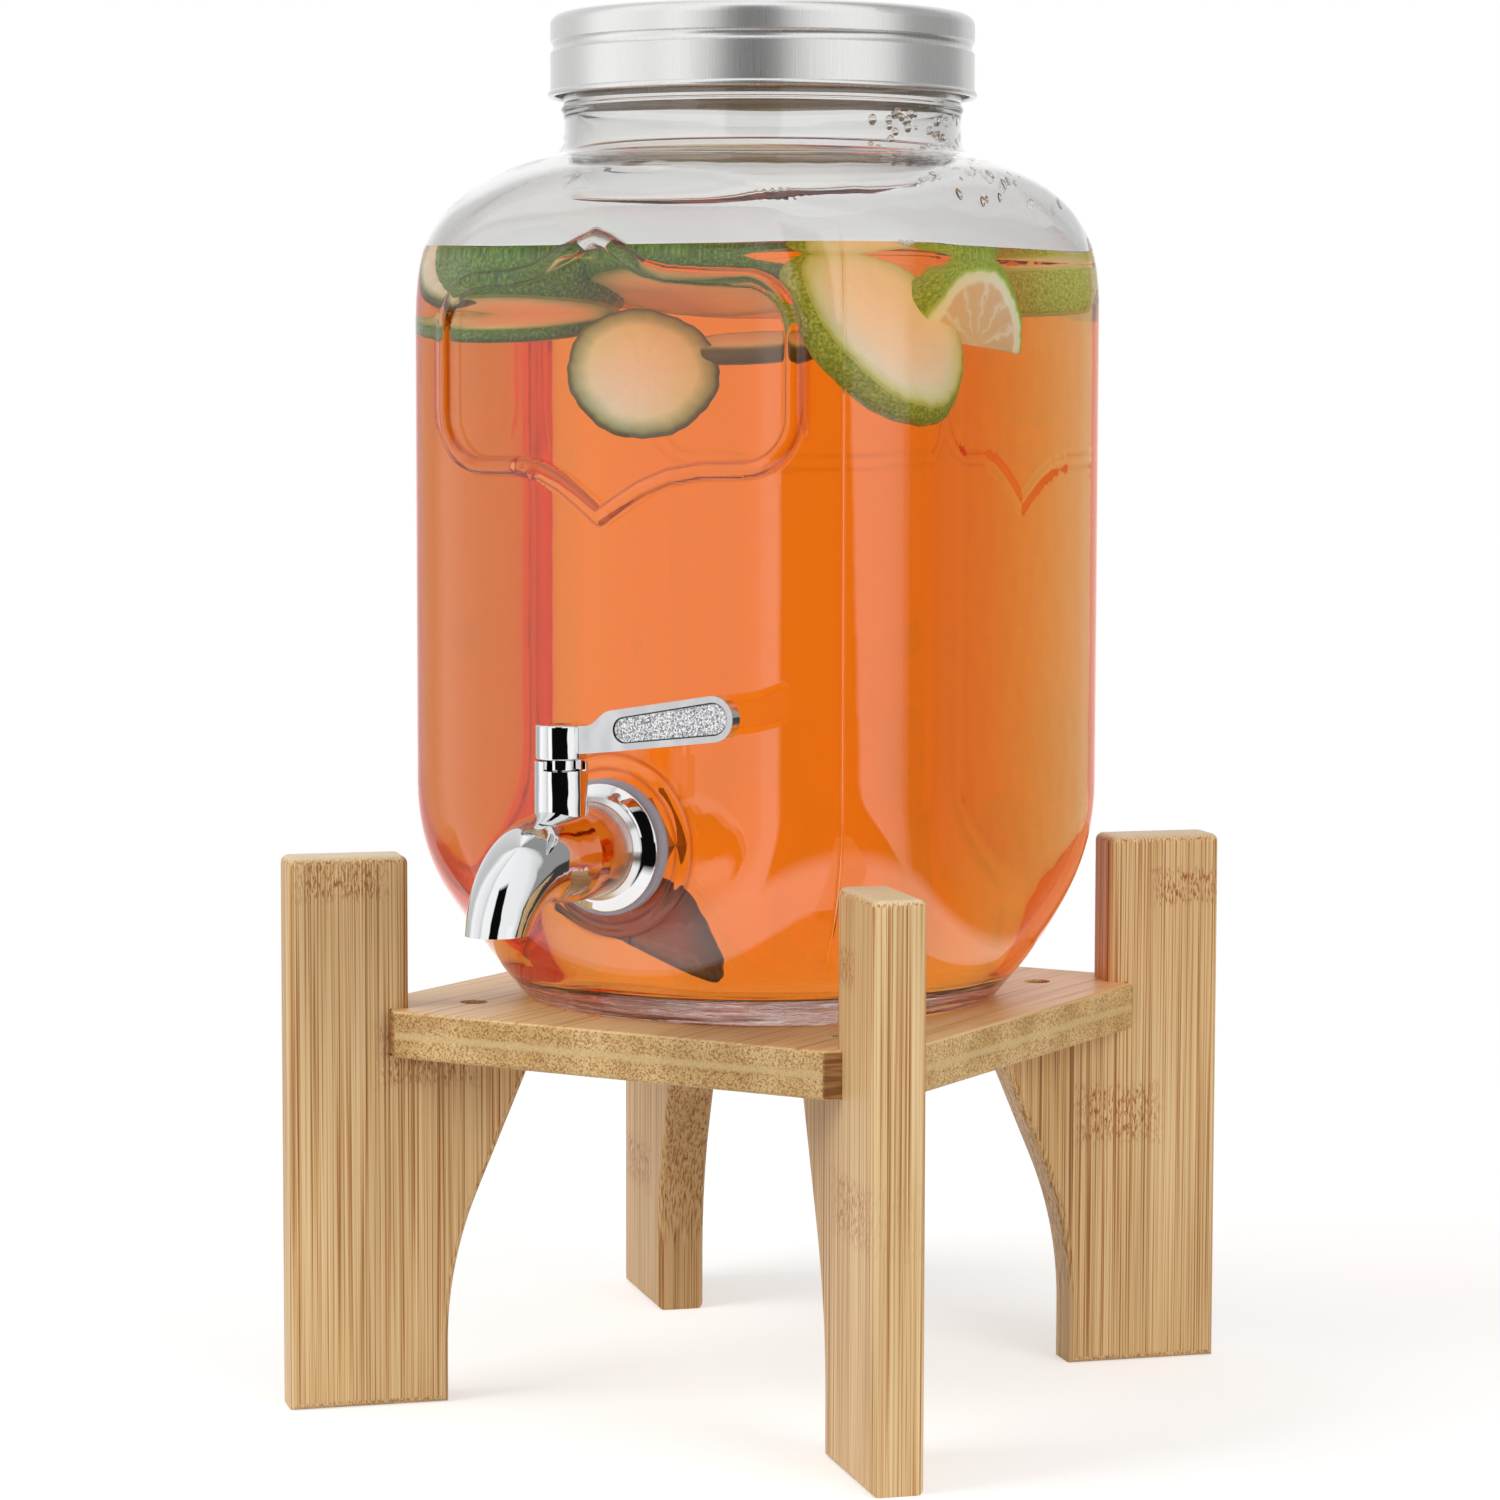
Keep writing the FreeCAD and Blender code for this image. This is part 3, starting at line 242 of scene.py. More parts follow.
def bamboo(name, turn, joints, painted_shade_tint):
    """Laminated bamboo. Noise stretched upwards gives its pale ground and dark fibre bundles, a slow
    noise and the strips' own tones shade it, and at its two joints, given as (place across, height, half
    width, half height) in mm, the bundles break up into short dashes. The bundles are drawn coarser than
    real ones, which are too fine to show. The sawn top is paler."""
    material, add = new_nodes(name)
    place = add("TexCoord").outputs["Object"]
    place = add("Mapping", Vector=place, Rotation=(0, 0, -np.radians(turn)))
    fibres = add("Mapping", Vector=place, Scale=(1 / FIBRE_GAP, 1 / FIBRE_GAP, 1 / FIBRE_LENGTH))
    fibre = add("TexNoise", Vector=fibres, Scale=1.0, Roughness=0.6)
    wood = add("ValToRGB", _0=fibre,
               stops=((0.33, "F6DAAC"), (0.49, "EAC690"), (0.57, "CF9D64"), (0.66, "A06836")))
    tone = add("Mapping", Vector=place, Scale=(60.0, 60.0, 5.0))
    tone = add("TexNoise", Vector=tone, Scale=1.0, Roughness=0.6)
    parts = add("SeparateXYZ", _0=place)
    strip = add("Math DIVIDE", _0=parts.outputs["X"], _1=STRIP_WIDTH)
    strip = add("Math FLOOR", _0=strip)
    own = add("TexWhiteNoise", noise_dimensions="1D", W=strip)
    level = add("Math MULTIPLY_ADD", _0=own, _1=0.16, _2=tone)
    shade = add("ValToRGB", _0=level, stops=((0.38, "E8E3DA"), (0.66, "FFFFFF")))
    near = []
    for across_mm, high_mm, wide_mm, tall_mm in joints:
        away = add("Mapping", Vector=place, Location=(-across_mm / wide_mm, 0, -high_mm / tall_mm),
                   Scale=(1 / (wide_mm * MM), 0, 1 / (tall_mm * MM)))
        away = add("VectorMath ABSOLUTE", _0=away)
        away = add("SeparateXYZ", _0=away)
        away = add("Math MAXIMUM", _0=away.outputs["X"], _1=away.outputs["Z"])
        near.append(add("MapRange SMOOTHSTEP", _0=away, From_Min=1.3, From_Max=0.6))
    patch = add("Math MAXIMUM", _0=near[0], _1=near[1])
    dashes = add("Mapping", Vector=place, Scale=(1 / FIBRE_GAP, 1 / FIBRE_GAP, 1 / DASH_LENGTH))
    dashes = add("TexNoise", Vector=dashes, Scale=1.0, Roughness=0.6)
    dashes = add("ValToRGB", _0=dashes, stops=((0.5, "000000"), (0.62, "FFFFFF")))
    dashes = add("Math MULTIPLY", _0=dashes, _1=patch)
    wood = add("Mix RGBA", _0=dashes, _6=wood, _7="A9652F")
    wood = add("Mix RGBA", blend_type="MULTIPLY", _0=1.0, _6=wood, _7=shade)
    # Painted shade: the leg's tint darkens a leg that gets less light.
    wood = add("Mix RGBA", blend_type="MULTIPLY", _0=1.0, _6=wood, _7=painted_shade_tint)
    sawn = add("MapRange", _0=parts.outputs["Z"], From_Min=LEG_TOP - 1.2 * MM, From_Max=LEG_TOP - 0.3 * MM,
               To_Max=0.7)
    wood = add("Mix RGBA", _0=sawn, _6=wood, _7="F6E6C2")
    dent = add("Bump", Strength=0.12, Distance=0.15 * MM, Height=fibre)
    skin = add("BsdfPrincipled", Base_Color=wood, Roughness=0.46, Normal=dent)
    add("OutputMaterial", Surface=skin)
    return material


def finish(material, *names):
    """Gives CAD nodes their finish."""
    for name in names:
        mesh = nodes[name].data
        mesh.materials.clear()
        mesh.materials.append(material)


# A leg isn't drawn through the glass, where it would stand as a brown patch in the drink.
for corner, leg in LEGS.items():
    finish(bamboo("bamboo_leg_" + corner, *leg), "leg_" + corner)
    bpy.data.objects["leg_" + corner].visible_transmission = False

# Shelf board. Two crossed layers of bamboo strips pressed into a 12.5 mm board, with its corners cut
# off against the posts.
BOARD_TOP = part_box("shelf_board")[1].z
BOARD_MIDDLE = (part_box("shelf_board")[0].z + BOARD_TOP) / 2
CUT_CORNER = 146.3 * MM  # across plus deep, anywhere on a cut corner's face


def board_bamboo():
    """The board's face shows long quiet fibres, tan under the lacquer. Its cut edges show the ends
    of the fibres as dots in two layers, with the glue line between them, and its cut corners are sawn
    across both layers and darker."""
    material, add = new_nodes("bamboo_board")
    place = add("TexCoord").outputs["Object"]
    parts = add("SeparateXYZ", _0=place)
    long = add("Mapping", Vector=place, Scale=(1 / (1.6 * MM), 1 / (70 * MM), 1 / (1.6 * MM)))
    fibre = add("TexNoise", Vector=long, Scale=1.0, Roughness=0.6)
    face = add("ValToRGB", _0=fibre, stops=((0.3, "FAD6A2"), (0.52, "F0C890"), (0.7, "CC9A60")))
    dots = add("TexNoise", Vector=place, Scale=1 / (0.5 * MM), Detail=1.0, Roughness=0.5)
    ends = add("ValToRGB", _0=dots, stops=((0.4, "E8C68C"), (0.54, "D2AA70"), (0.68, "A67640")))
    slow = add("TexNoise", Vector=place, Scale=1 / (14 * MM), Detail=1.0)
    patches = add("ValToRGB", _0=slow, stops=((0.35, "E6DCC8"), (0.6, "FFFFFF")))
    ends = add("Mix RGBA", blend_type="MULTIPLY", _0=1.0, _6=ends, _7=patches)
    off = add("Math SUBTRACT", _0=parts.outputs["Z"], _1=BOARD_MIDDLE)
    off = add("Math ABSOLUTE", _0=off)
    seam = add("MapRange", _0=off, From_Min=1.3 * MM, From_Max=0.5 * MM)
    seam = add("Math MULTIPLY", _0=seam, _1=0.7)
    ends = add("Mix RGBA", _0=seam, _6=ends, _7="DDBF88")
    sawn = add("Mapping", Vector=place, Scale=(1 / (12 * MM), 1 / (12 * MM), 1 / (0.9 * MM)))
    sawn = add("TexNoise", Vector=sawn, Scale=1.0, Detail=1.0)
    sawn = add("ValToRGB", _0=sawn, stops=((0.4, "BC8C54"), (0.6, "8E5E30")))
    reach = add("VectorMath ABSOLUTE", _0=place)
    reach = add("SeparateXYZ", _0=reach)
    reach = add("Math ADD", _0=reach.outputs["X"], _1=reach.outputs["Y"])
    cut = add("Math GREATER_THAN", _0=reach, _1=CUT_CORNER - 0.5 * MM)
    ends = add("Mix RGBA", _0=cut, _6=ends, _7=sawn)
    top = add("Math GREATER_THAN", _0=parts.outputs["Z"], _1=BOARD_TOP - 0.5 * MM)
    wood = add("Mix RGBA", _0=top, _6=ends, _7=face)
    skin = add("BsdfPrincipled", Base_Color=wood, Roughness=0.42)
    add("OutputMaterial", Surface=skin)
    return material


finish(board_bamboo(), "shelf_board")

# Leg screws. Four zinc-plated steel wood screws, one in each corner, driven down through the board into
# the leg's bracket until the head is flush.


def metal(name, shade, roughness, wave=0.0, wave_size=9 * MM, dull=(0.0, 0.0, 0.0)):
    """Bare metal. A slow noise gives it the gentle waves of a hand-polished casting, which make the
    edges of its mirror images wander. From one depth to another it may turn duller, where the wheel
    didn't reach."""
    material, add = new_nodes(name)
    place = add("TexCoord").outputs["Object"]
    waves = add("TexNoise", Vector=place, Scale=1 / wave_size, Detail=1.0, Roughness=0.4)
    bump = add("Bump", Strength=wave, Distance=1 * MM, Height=waves)
    smear = add("TexNoise", Vector=place, Scale=1 / (2.5 * MM), Detail=3.0, Roughness=0.6)
    rough = add("MapRange", _0=smear, To_Min=roughness * 0.7, To_Max=roughness * 1.3)
    if dull[2]:
        depth = add("SeparateXYZ", _0=place).outputs["Y"]
        more = add("MapRange", _0=depth, From_Min=dull[0], From_Max=dull[1], To_Max=dull[2])
        rough = add("Math ADD", _0=rough, _1=more)
    skin = add("BsdfPrincipled", Base_Color=shade, Metallic=1.0, Roughness=rough, Normal=bump)
    add("OutputMaterial", Surface=skin)
    return material


zinc_steel = metal("zinc_plated_steel", "B9B6AE", 0.30)
finish(zinc_steel, *("leg_screw_" + corner for corner in LEGS))

# Glass jar. One piece of pressed clear glass: a square body with round corners that turns into a
# round heel and shoulder, a threaded neck with a bead, and a frame of raised line on the front and the
# back. A flat round boss carries the tap.
GLASS_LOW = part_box("glass_jar")[0].z
MOUTH_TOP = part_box("glass_jar")[1].z
WALL = 3.5 * MM
PANEL = 76.5 * MM
CORNER = 34.4 * MM
CORNER_EASE = 9 * MM
HEEL_MIDDLE = (-138.2 * MM, 282.2 * MM)
HEEL_ROUND = 267.2 * MM
SHOULDER_MIDDLE = (44.5 * MM, 275.0 * MM)
SHOULDER_ROUND = 58.4 * MM
NECK = 53.2 * MM
NECK_ROUND = 4.8 * MM
BEAD_MIDDLE = 344.4 * MM
BEAD_HALF = 1.6 * MM
BEAD_OUT = 0.7 * MM
THREAD_LOW = 354.4 * MM
THREAD_PITCH = 5.08 * MM
THREAD_TURNS = 1.25
THREAD_OUT = 1.4 * MM
THREAD_HALF = 1.5 * MM
BASE_TOP = GLASS_LOW + 9 * MM
BASE_ROUND = 14 * MM
FOOT_ROUND = 3 * MM
PUSH_UP = 1.8 * MM
JAR_COLUMNS = 224
TAP_HEIGHT = 154 * MM
BOSS = 21.8 * MM
BOSS_OUT = 1.5 * MM
BOSS_EASE = 1.6 * MM
LINE_HALF = 2.1 * MM
LINE_OUT = 1.5 * MM
SEAM_TURN = np.radians(-47.5)
SEAM_SPAN = (122 * MM, 135 * MM, 296 * MM, 316 * MM)
SEAM_HALF = 0.45 * MM
FOLD_SHADE_HALF = 0.5 * MM
STREAKS_TO = GLASS_LOW + 8 * MM
KNOTS = ((-27.5, 250.8, 2.6), (-4.6, 308.4, 3.4))
RELIEF_HALF = 62 * MM
RELIEF_SPAN = (125 * MM, 318 * MM)
RELIEF_NEAR = 4.2 * MM
CURVED_FROM = 293 * MM
INNER_FLOOR_ROWS = 14
DRINK_TOP = 306 * MM


def square_radius(angle, inset):
    """How far the jar's round-cornered square reaches at an angle, with the wall inset taken off: the
    half side over the larger of cosine and sine on a flat side, and the far hit on the corner's circle
    elsewhere."""
    half, corner = PANEL - inset, CORNER - inset
    c, s = np.abs(np.cos(angle)), np.abs(np.sin(angle))
    middle = half - corner
    along = middle * (c + s)
    bend = along + np.sqrt(np.maximum(along ** 2 - 2 * middle ** 2 + corner ** 2, 0))
    flat = half / np.maximum(c, s)
    return np.where(flat * np.minimum(c, s) <= middle, flat, bend)


def even_angles():
    """Angles whose points on the round-cornered square are the same length apart, from its middle on
    the right."""
    fine = np.linspace(0, 2 * np.pi, 40001)
    reach = square_radius(fine, 0)
    line = np.stack((reach * np.cos(fine), reach * np.sin(fine)))
    length = np.append(0, np.cumsum(np.linalg.norm(np.diff(line), axis=0)))
    return np.interp(np.arange(JAR_COLUMNS) / JAR_COLUMNS * length[-1], length, fine)


def arc(middle, radius, start, end, count):
    """Points on a circle about (across, up), from one angle in degrees to another."""
    turn = np.radians(np.linspace(start, end, count))
    return np.stack((middle[0] + radius * np.cos(turn), middle[1] + radius * np.sin(turn)), axis=1)


def straight(start, end, count):
    """Evenly spaced points from one (across, up) to another, without the two ends."""
    share = np.arange(1, count + 1)[:, None] / (count + 1)
    return np.array(start) * (1 - share) + np.array(end) * share


def heel_angle(height, inset):
    """The angle on the heel's circle at a height, in degrees, with the wall inset taken off."""
    return np.degrees(np.arcsin((height - HEEL_MIDDLE[1]) / (HEEL_ROUND - inset)))


def body_outline(inset, foot_height, heel_rows, shoulder_rows):
    """The turned outline from the foot up to the start of the neck: the heel's long arc, a plain run
    beyond the panels, the shoulder's arc and, from the two circles' touch, the neck's hollow round."""
    low = heel_angle(foot_height, inset)
    heel = arc(HEEL_MIDDLE, HEEL_ROUND - inset, low, heel_angle(200 * MM, inset), heel_rows)
    touch = np.arccos((NECK + NECK_ROUND - SHOULDER_MIDDLE[0]) / (SHOULDER_ROUND + NECK_ROUND))
    shoulder = arc(SHOULDER_MIDDLE, SHOULDER_ROUND - inset, 0, np.degrees(touch), shoulder_rows)
    hollow_middle = (NECK + NECK_ROUND, shoulder[-1][1] + (NECK_ROUND + inset) * np.sin(touch))
    hollow = arc(hollow_middle, NECK_ROUND + inset, np.degrees(touch) + 180, 180, 9)
    return np.concatenate((heel, straight(heel[-1], shoulder[0], 24), shoulder, hollow[1:]))


def outer_outline():
    """The outside from the middle of the underside to the mouth, as (across, up) points."""
    slope = heel_angle(GLASS_LOW + 1.2 * MM, 0)
    foot_out = HEEL_MIDDLE[0] + (HEEL_ROUND - FOOT_ROUND) * np.cos(np.radians(slope))
    foot = arc((foot_out, GLASS_LOW + FOOT_ROUND), FOOT_ROUND, -90, slope, 7)
    ring = foot_out - 5 * MM
    across = np.linspace(0.02, 1, 12)
    under = np.stack((across * ring, GLASS_LOW + PUSH_UP * (1 - across ** 2)), axis=1)
    body = body_outline(0, foot[-1][1] + 1 * MM, 46, 40)
    neck = straight(body[-1], (NECK, MOUTH_TOP - WALL / 2), 44)
    lip = arc((NECK - WALL / 2, MOUTH_TOP - WALL / 2), WALL / 2, 0, 90, 6)
    return np.concatenate((under, foot, body, neck, lip))


def inner_outline():
    """The inside from the mouth down to the middle of the floor, as (across, up) points."""
    lip = arc((NECK - WALL / 2, MOUTH_TOP - WALL / 2), WALL / 2, 90, 180, 6)[1:]
    low = BASE_TOP + BASE_ROUND * 0.45
    body = body_outline(WALL, low, 30, 28)[::-1]
    neck = straight(lip[-1], body[0], 12)
    slope = heel_angle(low, WALL)
    round_middle = body[-1] - BASE_ROUND * np.array((np.cos(np.radians(slope)), np.sin(np.radians(slope))))
    bend = arc(round_middle, BASE_ROUND, slope, -90, 12)[1:]
    drop = bend[-1][1] - BASE_TOP
    bend[:, 1] -= drop * np.linspace(0, 1, len(bend))
    across = np.linspace(1, 0.02, INNER_FLOOR_ROWS)[1:]
    base = np.stack((across * bend[-1][0], np.full(len(across), BASE_TOP)), axis=1)
    return np.concatenate((lip, neck, body, bend, base))


def jar_rings(outline, inset):
    """Carries a turned outline around the jar: at each angle a point is the lesser of the outline's
    radius and the square's reach, with a rounded change-over where they are within CORNER_EASE."""
    angles = even_angles()
    radius, reach = outline[:, :1], square_radius(angles, inset)
    ease = np.maximum(CORNER_EASE - np.abs(radius - reach), 0) ** 2 / (4 * CORNER_EASE)
    reach = np.minimum(radius, reach) - ease
    height = np.repeat(outline[:, 1:], JAR_COLUMNS, axis=1)
    return np.stack((reach * np.cos(angles), reach * np.sin(angles), height), axis=2)


def thread_ridge(points):
    """Moves neck points out along a round ridge that climbs one pitch a turn and fades at its ends."""
    x, y, z = points[..., 0], points[..., 1], points[..., 2]
    turned = np.arctan2(y, x) / (2 * np.pi) % 1
    ridge = np.zeros_like(z)
    for lap in range(int(THREAD_TURNS) + 1):
        along = turned + lap
        fade = np.clip(np.minimum(along, THREAD_TURNS - along) / 0.06, 0, 1)
        off = np.clip(np.abs(z - THREAD_LOW - along * THREAD_PITCH) / THREAD_HALF, 0, 1)
        ridge = np.maximum(ridge, fade * np.cos(off * np.pi / 2) ** 2)
    reach = np.hypot(x, y)
    share = 1 + ridge * THREAD_OUT / np.maximum(reach, 1 * MM)
    return np.stack((x * share, y * share, z), axis=-1)


def new_mesh(name, points, faces, material):
    """A smooth mesh of one material, from an array of points and a list of faces."""
    mesh = bpy.data.meshes.new(name)
    mesh.from_pydata(points.reshape(-1, 3).tolist(), [], faces)
    mesh.shade_smooth()
    mesh.materials.append(material)
    return mesh


def ring_mesh(name, rings, material):
    """A closed mesh from rings of points (row, column, place): the columns close on themselves and each
    end row is filled by one face."""
    index = np.arange(rings[..., 0].size).reshape(len(rings), -1)
    right = np.roll(index, -1, axis=1)
    quads = np.stack((index[:-1], right[:-1], right[1:], index[1:]), axis=2).reshape(-1, 4)
    return new_mesh(name, rings, quads.tolist() + [index[0, ::-1].tolist(), index[-1].tolist()], material)


def show(name, mesh, body):
    """Puts a mesh in the scene as a piece that rides on a body."""
    piece = bpy.data.objects.new(name, mesh)
    scene.collection.objects.link(piece)
    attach(piece, body)
    return piece


def frame_line():
    """The raised frame on a panel as (across, up) points: from its peak down the right side, along the
    lower edge with its point, up the left side and back to the peak. Round corners join the runs."""
    side, top, low, bend = 52.2 * MM, 298.4 * MM, 250.6 * MM, 13.5 * MM
    peak = ((-4.6, 308.6), (-1.5, 307.6), (1.4, 305.9), (5.0, 303.4), (9.5, 301.0), (16, 299.4), (28, 298.6))
    point = ((34, 250.4), (26, 250.1), (17, 248.6), (9, 245.6), (3, 242.2), (-3.8, 237.9), (-9, 242.0),
             (-15, 246.2), (-21, 249.2), (-27, 250.6))
    rise = ((-30, 298.9), (-23, 300.4), (-18, 302.8), (-13, 305.2), (-8.5, 307.2), (-4.6, 308.6))
    return np.concatenate((
        np.array(peak) * MM,
        arc((side - bend, top - bend), bend, 85, 0, 12),
        arc((side - bend, low + bend), bend, 0, -88, 12),
        np.array(point) * MM,
        arc((bend - side, low + bend), bend, -92, -180, 12),
        arc((bend - side, top - bend), bend, 180, 95, 12),
        np.array(rise) * MM))


def panel_relief(points):
    """How far the panel stands out at each point, and how near the relief's edges are: a round line
    along the frame, out = LINE_OUT (1 - (away / LINE_HALF) ** 2) ** 0.6, lower on the back, with knots
    in it, and on the front a flat boss with an eased rim."""
    across, up, front = points[:, 0], points[:, 2], points[:, 1] < 0
    line = frame_line()
    start, step = line[:-1], np.diff(line, axis=0)
    spot = np.stack((across, up), axis=1)[:, None, :] - start[None]
    share = np.clip((spot * step).sum(2) / np.maximum((step ** 2).sum(1), 1e-12), 0, 1)
    away = np.linalg.norm(spot - share[..., None] * step, axis=2).min(1)
    out = np.where(front, 1, 0.2) * LINE_OUT * (1 - np.clip(away / LINE_HALF, 0, 1) ** 2) ** 0.6
    for knot_across, knot_up, reach in KNOTS:
        off = np.hypot(across - knot_across * MM, up - knot_up * MM) / (reach * MM)
        out = out + np.where(front, 0.5, 0) * LINE_OUT * (1 - np.clip(off, 0, 1) ** 2) ** 2
    edge = (np.hypot(across, up - TAP_HEIGHT) - BOSS) / BOSS_EASE
    boss = BOSS_OUT * (0.5 - 0.5 * np.sin(np.clip(edge, -1, 1) * np.pi / 2))
    rim = np.where(front, np.abs(edge) * BOSS_EASE, 1)
    return np.where(front, np.maximum(out, boss), out), np.minimum(away, rim)


def on_panel(points, depth):
    """Which points lie on the front or back panel, down to a depth inside its plane."""
    return ((np.abs(points[:, 1]) > PANEL - depth) & (np.abs(points[:, 0]) < RELIEF_HALF)
            & (points[:, 2] > RELIEF_SPAN[0]) & (points[:, 2] < RELIEF_SPAN[1]))


def chart(mesh, name, first, second):
    """Gives a mesh a UV map that holds two numbers for each of its points."""
    corner = np.empty(len(mesh.loops), int)
    mesh.loops.foreach_get("vertex_index", corner)
    both = np.stack((first, second), axis=1)[corner]
    mesh.uv_layers.new(name=name).data.foreach_set("uv", both.ravel())


def press_relief(mesh):
    """Refines the outside near the raised lines, the front more than the back, and moves those points
    out of the panel."""
    shape = bmesh.new()
    shape.from_mesh(mesh)
    for side, cuts in ((-1, 4), (1, 2)):
        middles = np.array([face.calc_center_median()[:] for face in shape.faces])
        picked = np.flatnonzero(on_panel(middles, 6 * MM) & (side * middles[:, 1] > 0))
        near = panel_relief(middles[picked])[1] < RELIEF_NEAR
        flat = np.abs(middles[picked, 1]) > PANEL - 2.2 * MM
        near &= flat | (middles[picked, 2] > CURVED_FROM)
        shape.faces.ensure_lookup_table()
        chosen = {edge for i in picked[near] for edge in shape.faces[i].edges}
        edges = [edge for edge in shape.edges if edge in chosen]
        bmesh.ops.subdivide_edges(shape, edges=edges, cuts=cuts, use_grid_fill=True)
    shape.to_mesh(mesh)
    shape.free()
    place, normal = np.empty((2, len(mesh.vertices) * 3))
    mesh.vertices.foreach_get("co", place)
    mesh.vertices.foreach_get("normal", normal)
    place, normal = place.reshape(-1, 3), normal.reshape(-1, 3)
    outward = normal[:, 1] * np.sign(place[:, 1]) > 0.2
    picked = np.flatnonzero(outward & on_panel(place, 16 * MM))
    front = place[picked, 1] < 0
    out, away = panel_relief(place[picked])
    place[picked, 1] += np.where(front, -1, 1) * out
    mesh.vertices.foreach_set("co", place.ravel())
    # The weight of the painted shade beside the raised lines, kept in a chart for the glass.
    painted_fold_shade = np.zeros(len(place))
    painted_fold_shade[picked] = np.exp(-((away - 0.9 * LINE_HALF) / FOLD_SHADE_HALF) ** 2) * np.where(front, 1, 0.3)
    chart(mesh, "painted_fold_shade", painted_fold_shade, painted_fold_shade)
    mesh.update()


def clear_glass():
    """Clear soda-lime glass, pressed in a mould: a faint grey body, greyer with mist above the drink, a
    mirror-smooth skin with slow waves, painted shade beside the raised lines, which stands in for the
    light their flanks turn away, the raised hair of the mould's seam down one corner, and chill streaks
    around the foot, whose dark lines are painted shade standing in for the light they bend away. Lamps
    reach what is behind it."""
    material, add = new_nodes("pressed_soda_lime_glass")
    place = add("TexCoord").outputs["Object"]
    waves = add("TexNoise", Vector=place, Scale=1 / (16 * MM), Detail=1.0)
    bump = add("Bump", Strength=0.05, Distance=1 * MM, Height=waves)
    across = add("VectorMath DOT_PRODUCT", _0=place, _1=(-np.sin(SEAM_TURN), np.cos(SEAM_TURN), 0))
    across = add("Math ABSOLUTE", _0=across)
    seam = add("MapRange SMOOTHSTEP", _0=across, From_Min=SEAM_HALF, From_Max=0.0)
    height = add("SeparateXYZ", _0=place).outputs["Z"]
    start = add("MapRange", _0=height, From_Min=SEAM_SPAN[0], From_Max=SEAM_SPAN[1])
    end = add("MapRange", _0=height, From_Min=SEAM_SPAN[3], From_Max=SEAM_SPAN[2])
    span = add("Math MULTIPLY", _0=start, _1=end)
    ahead = add("VectorMath DOT_PRODUCT", _0=place, _1=(np.cos(SEAM_TURN), np.sin(SEAM_TURN), 0))
    ahead = add("Math GREATER_THAN", _0=ahead, _1=0.0)
    span = add("Math MULTIPLY", _0=span, _1=ahead)
    seam = add("Math MULTIPLY", _0=seam, _1=span)
    bump = add("Bump", Distance=0.22 * MM, Height=seam, Normal=bump)
    flow = add("Mapping", Vector=place, Scale=(1 / (34 * MM), 1 / (34 * MM), 1 / (1.3 * MM)))
    flow = add("TexNoise", Vector=flow, Scale=1.0, Roughness=0.6)
    foot = add("MapRange", _0=height, From_Min=STREAKS_TO, From_Max=STREAKS_TO - 5 * MM)
    # Painted shade: dark lines along the streaks near the foot stand in for the light they bend away.
    dark = add("ValToRGB", _0=flow, stops=((0.5, "000000"), (0.6, "FFFFFF")))
    dark = add("Math MULTIPLY", _0=dark, _1=foot)
    flow = add("Math MULTIPLY", _0=flow, _1=foot)
    bump = add("Bump", Distance=1.3 * MM, Height=flow, Normal=bump)
    dry = add("MapRange", _0=height, From_Min=DRINK_TOP, From_Max=DRINK_TOP + 2 * MM)
    body = add("Mix RGBA", _0=dry, _6="FAFBFB", _7="F1F1F0")
    body = add("Mix RGBA", _0=dark, _6=body, _7="8C5A4C")
    # Painted shade beside the raised lines, where their flanks turn light away.
    painted_fold_shade = add("SeparateXYZ", _0=add("UVMap", uv_map="painted_fold_shade")).outputs["X"]
    body = add("Mix RGBA", _0=painted_fold_shade, _6=body, _7="B3908C")
    glass = add("BsdfPrincipled", Base_Color=body, Roughness=0.0, IOR=1.5, Transmission_Weight=1.0,
                Normal=bump)
    clear = add("BsdfTransparent", Color="F6F7F7")
    path = add("LightPath")
    mixed = add("MixShader", _0=path.outputs["Is Shadow Ray"], _1=glass, _2=clear)
    add("OutputMaterial", Surface=mixed)
    return material


outside = jar_rings(outer_outline(), 0)
bead_off = np.clip(np.abs(outside[..., 2] - BEAD_MIDDLE) / BEAD_HALF, 0, 1)
bead_share = 1 + BEAD_OUT / NECK * np.cos(bead_off * np.pi / 2) ** 2
outside[..., :2] *= bead_share[..., None]
outside = thread_ridge(outside)
inside = jar_rings(inner_outline(), WALL)
jar_mesh = ring_mesh("glass_jar_pressed", np.concatenate((outside, inside)), clear_glass())
press_relief(jar_mesh)
jar = show("glass_jar_pressed", jar_mesh, "jar")
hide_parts("glass_jar")

# Drink. Clear orange-red punch, filled to a little above the frame. It stands a hair into the glass, so
# that no air shows between them, and its edge climbs the wall a little.
DRINK_GROWTH = 0.15 * MM
EDGE_RISE = 1.1 * MM
EDGE_REACH = 1.6 * MM


def drink_rings():
    """The jar's inside below the drink's top, grown a little, closed by the top with its raised edge."""
    outline = inner_outline()
    wet = outline[outline[:, 1] < DRINK_TOP]
    wet = np.concatenate(([(wet[0][0], DRINK_TOP)], wet))
    wall = jar_rings(wet, WALL)
    reach = np.linalg.norm(wall[..., :2], axis=2, keepdims=True)
    wall[..., :2] *= 1 + DRINK_GROWTH / reach
    wall[-INNER_FLOOR_ROWS:, :, 2] -= DRINK_GROWTH
    share = np.concatenate((np.linspace(0.02, 0.9, 16), 1 - np.geomspace(0.08, 0.001, 12)))
    top = wall[0][None] * share[:, None, None]
    edge_reach = reach[0] * (1 - share)[:, None, None]
    top[..., 2] = DRINK_TOP + EDGE_RISE * np.exp(-edge_reach[..., 0] / EDGE_REACH)
    wall[0, :, 2] = DRINK_TOP + EDGE_RISE
    return np.concatenate((top, wall))[::-1]


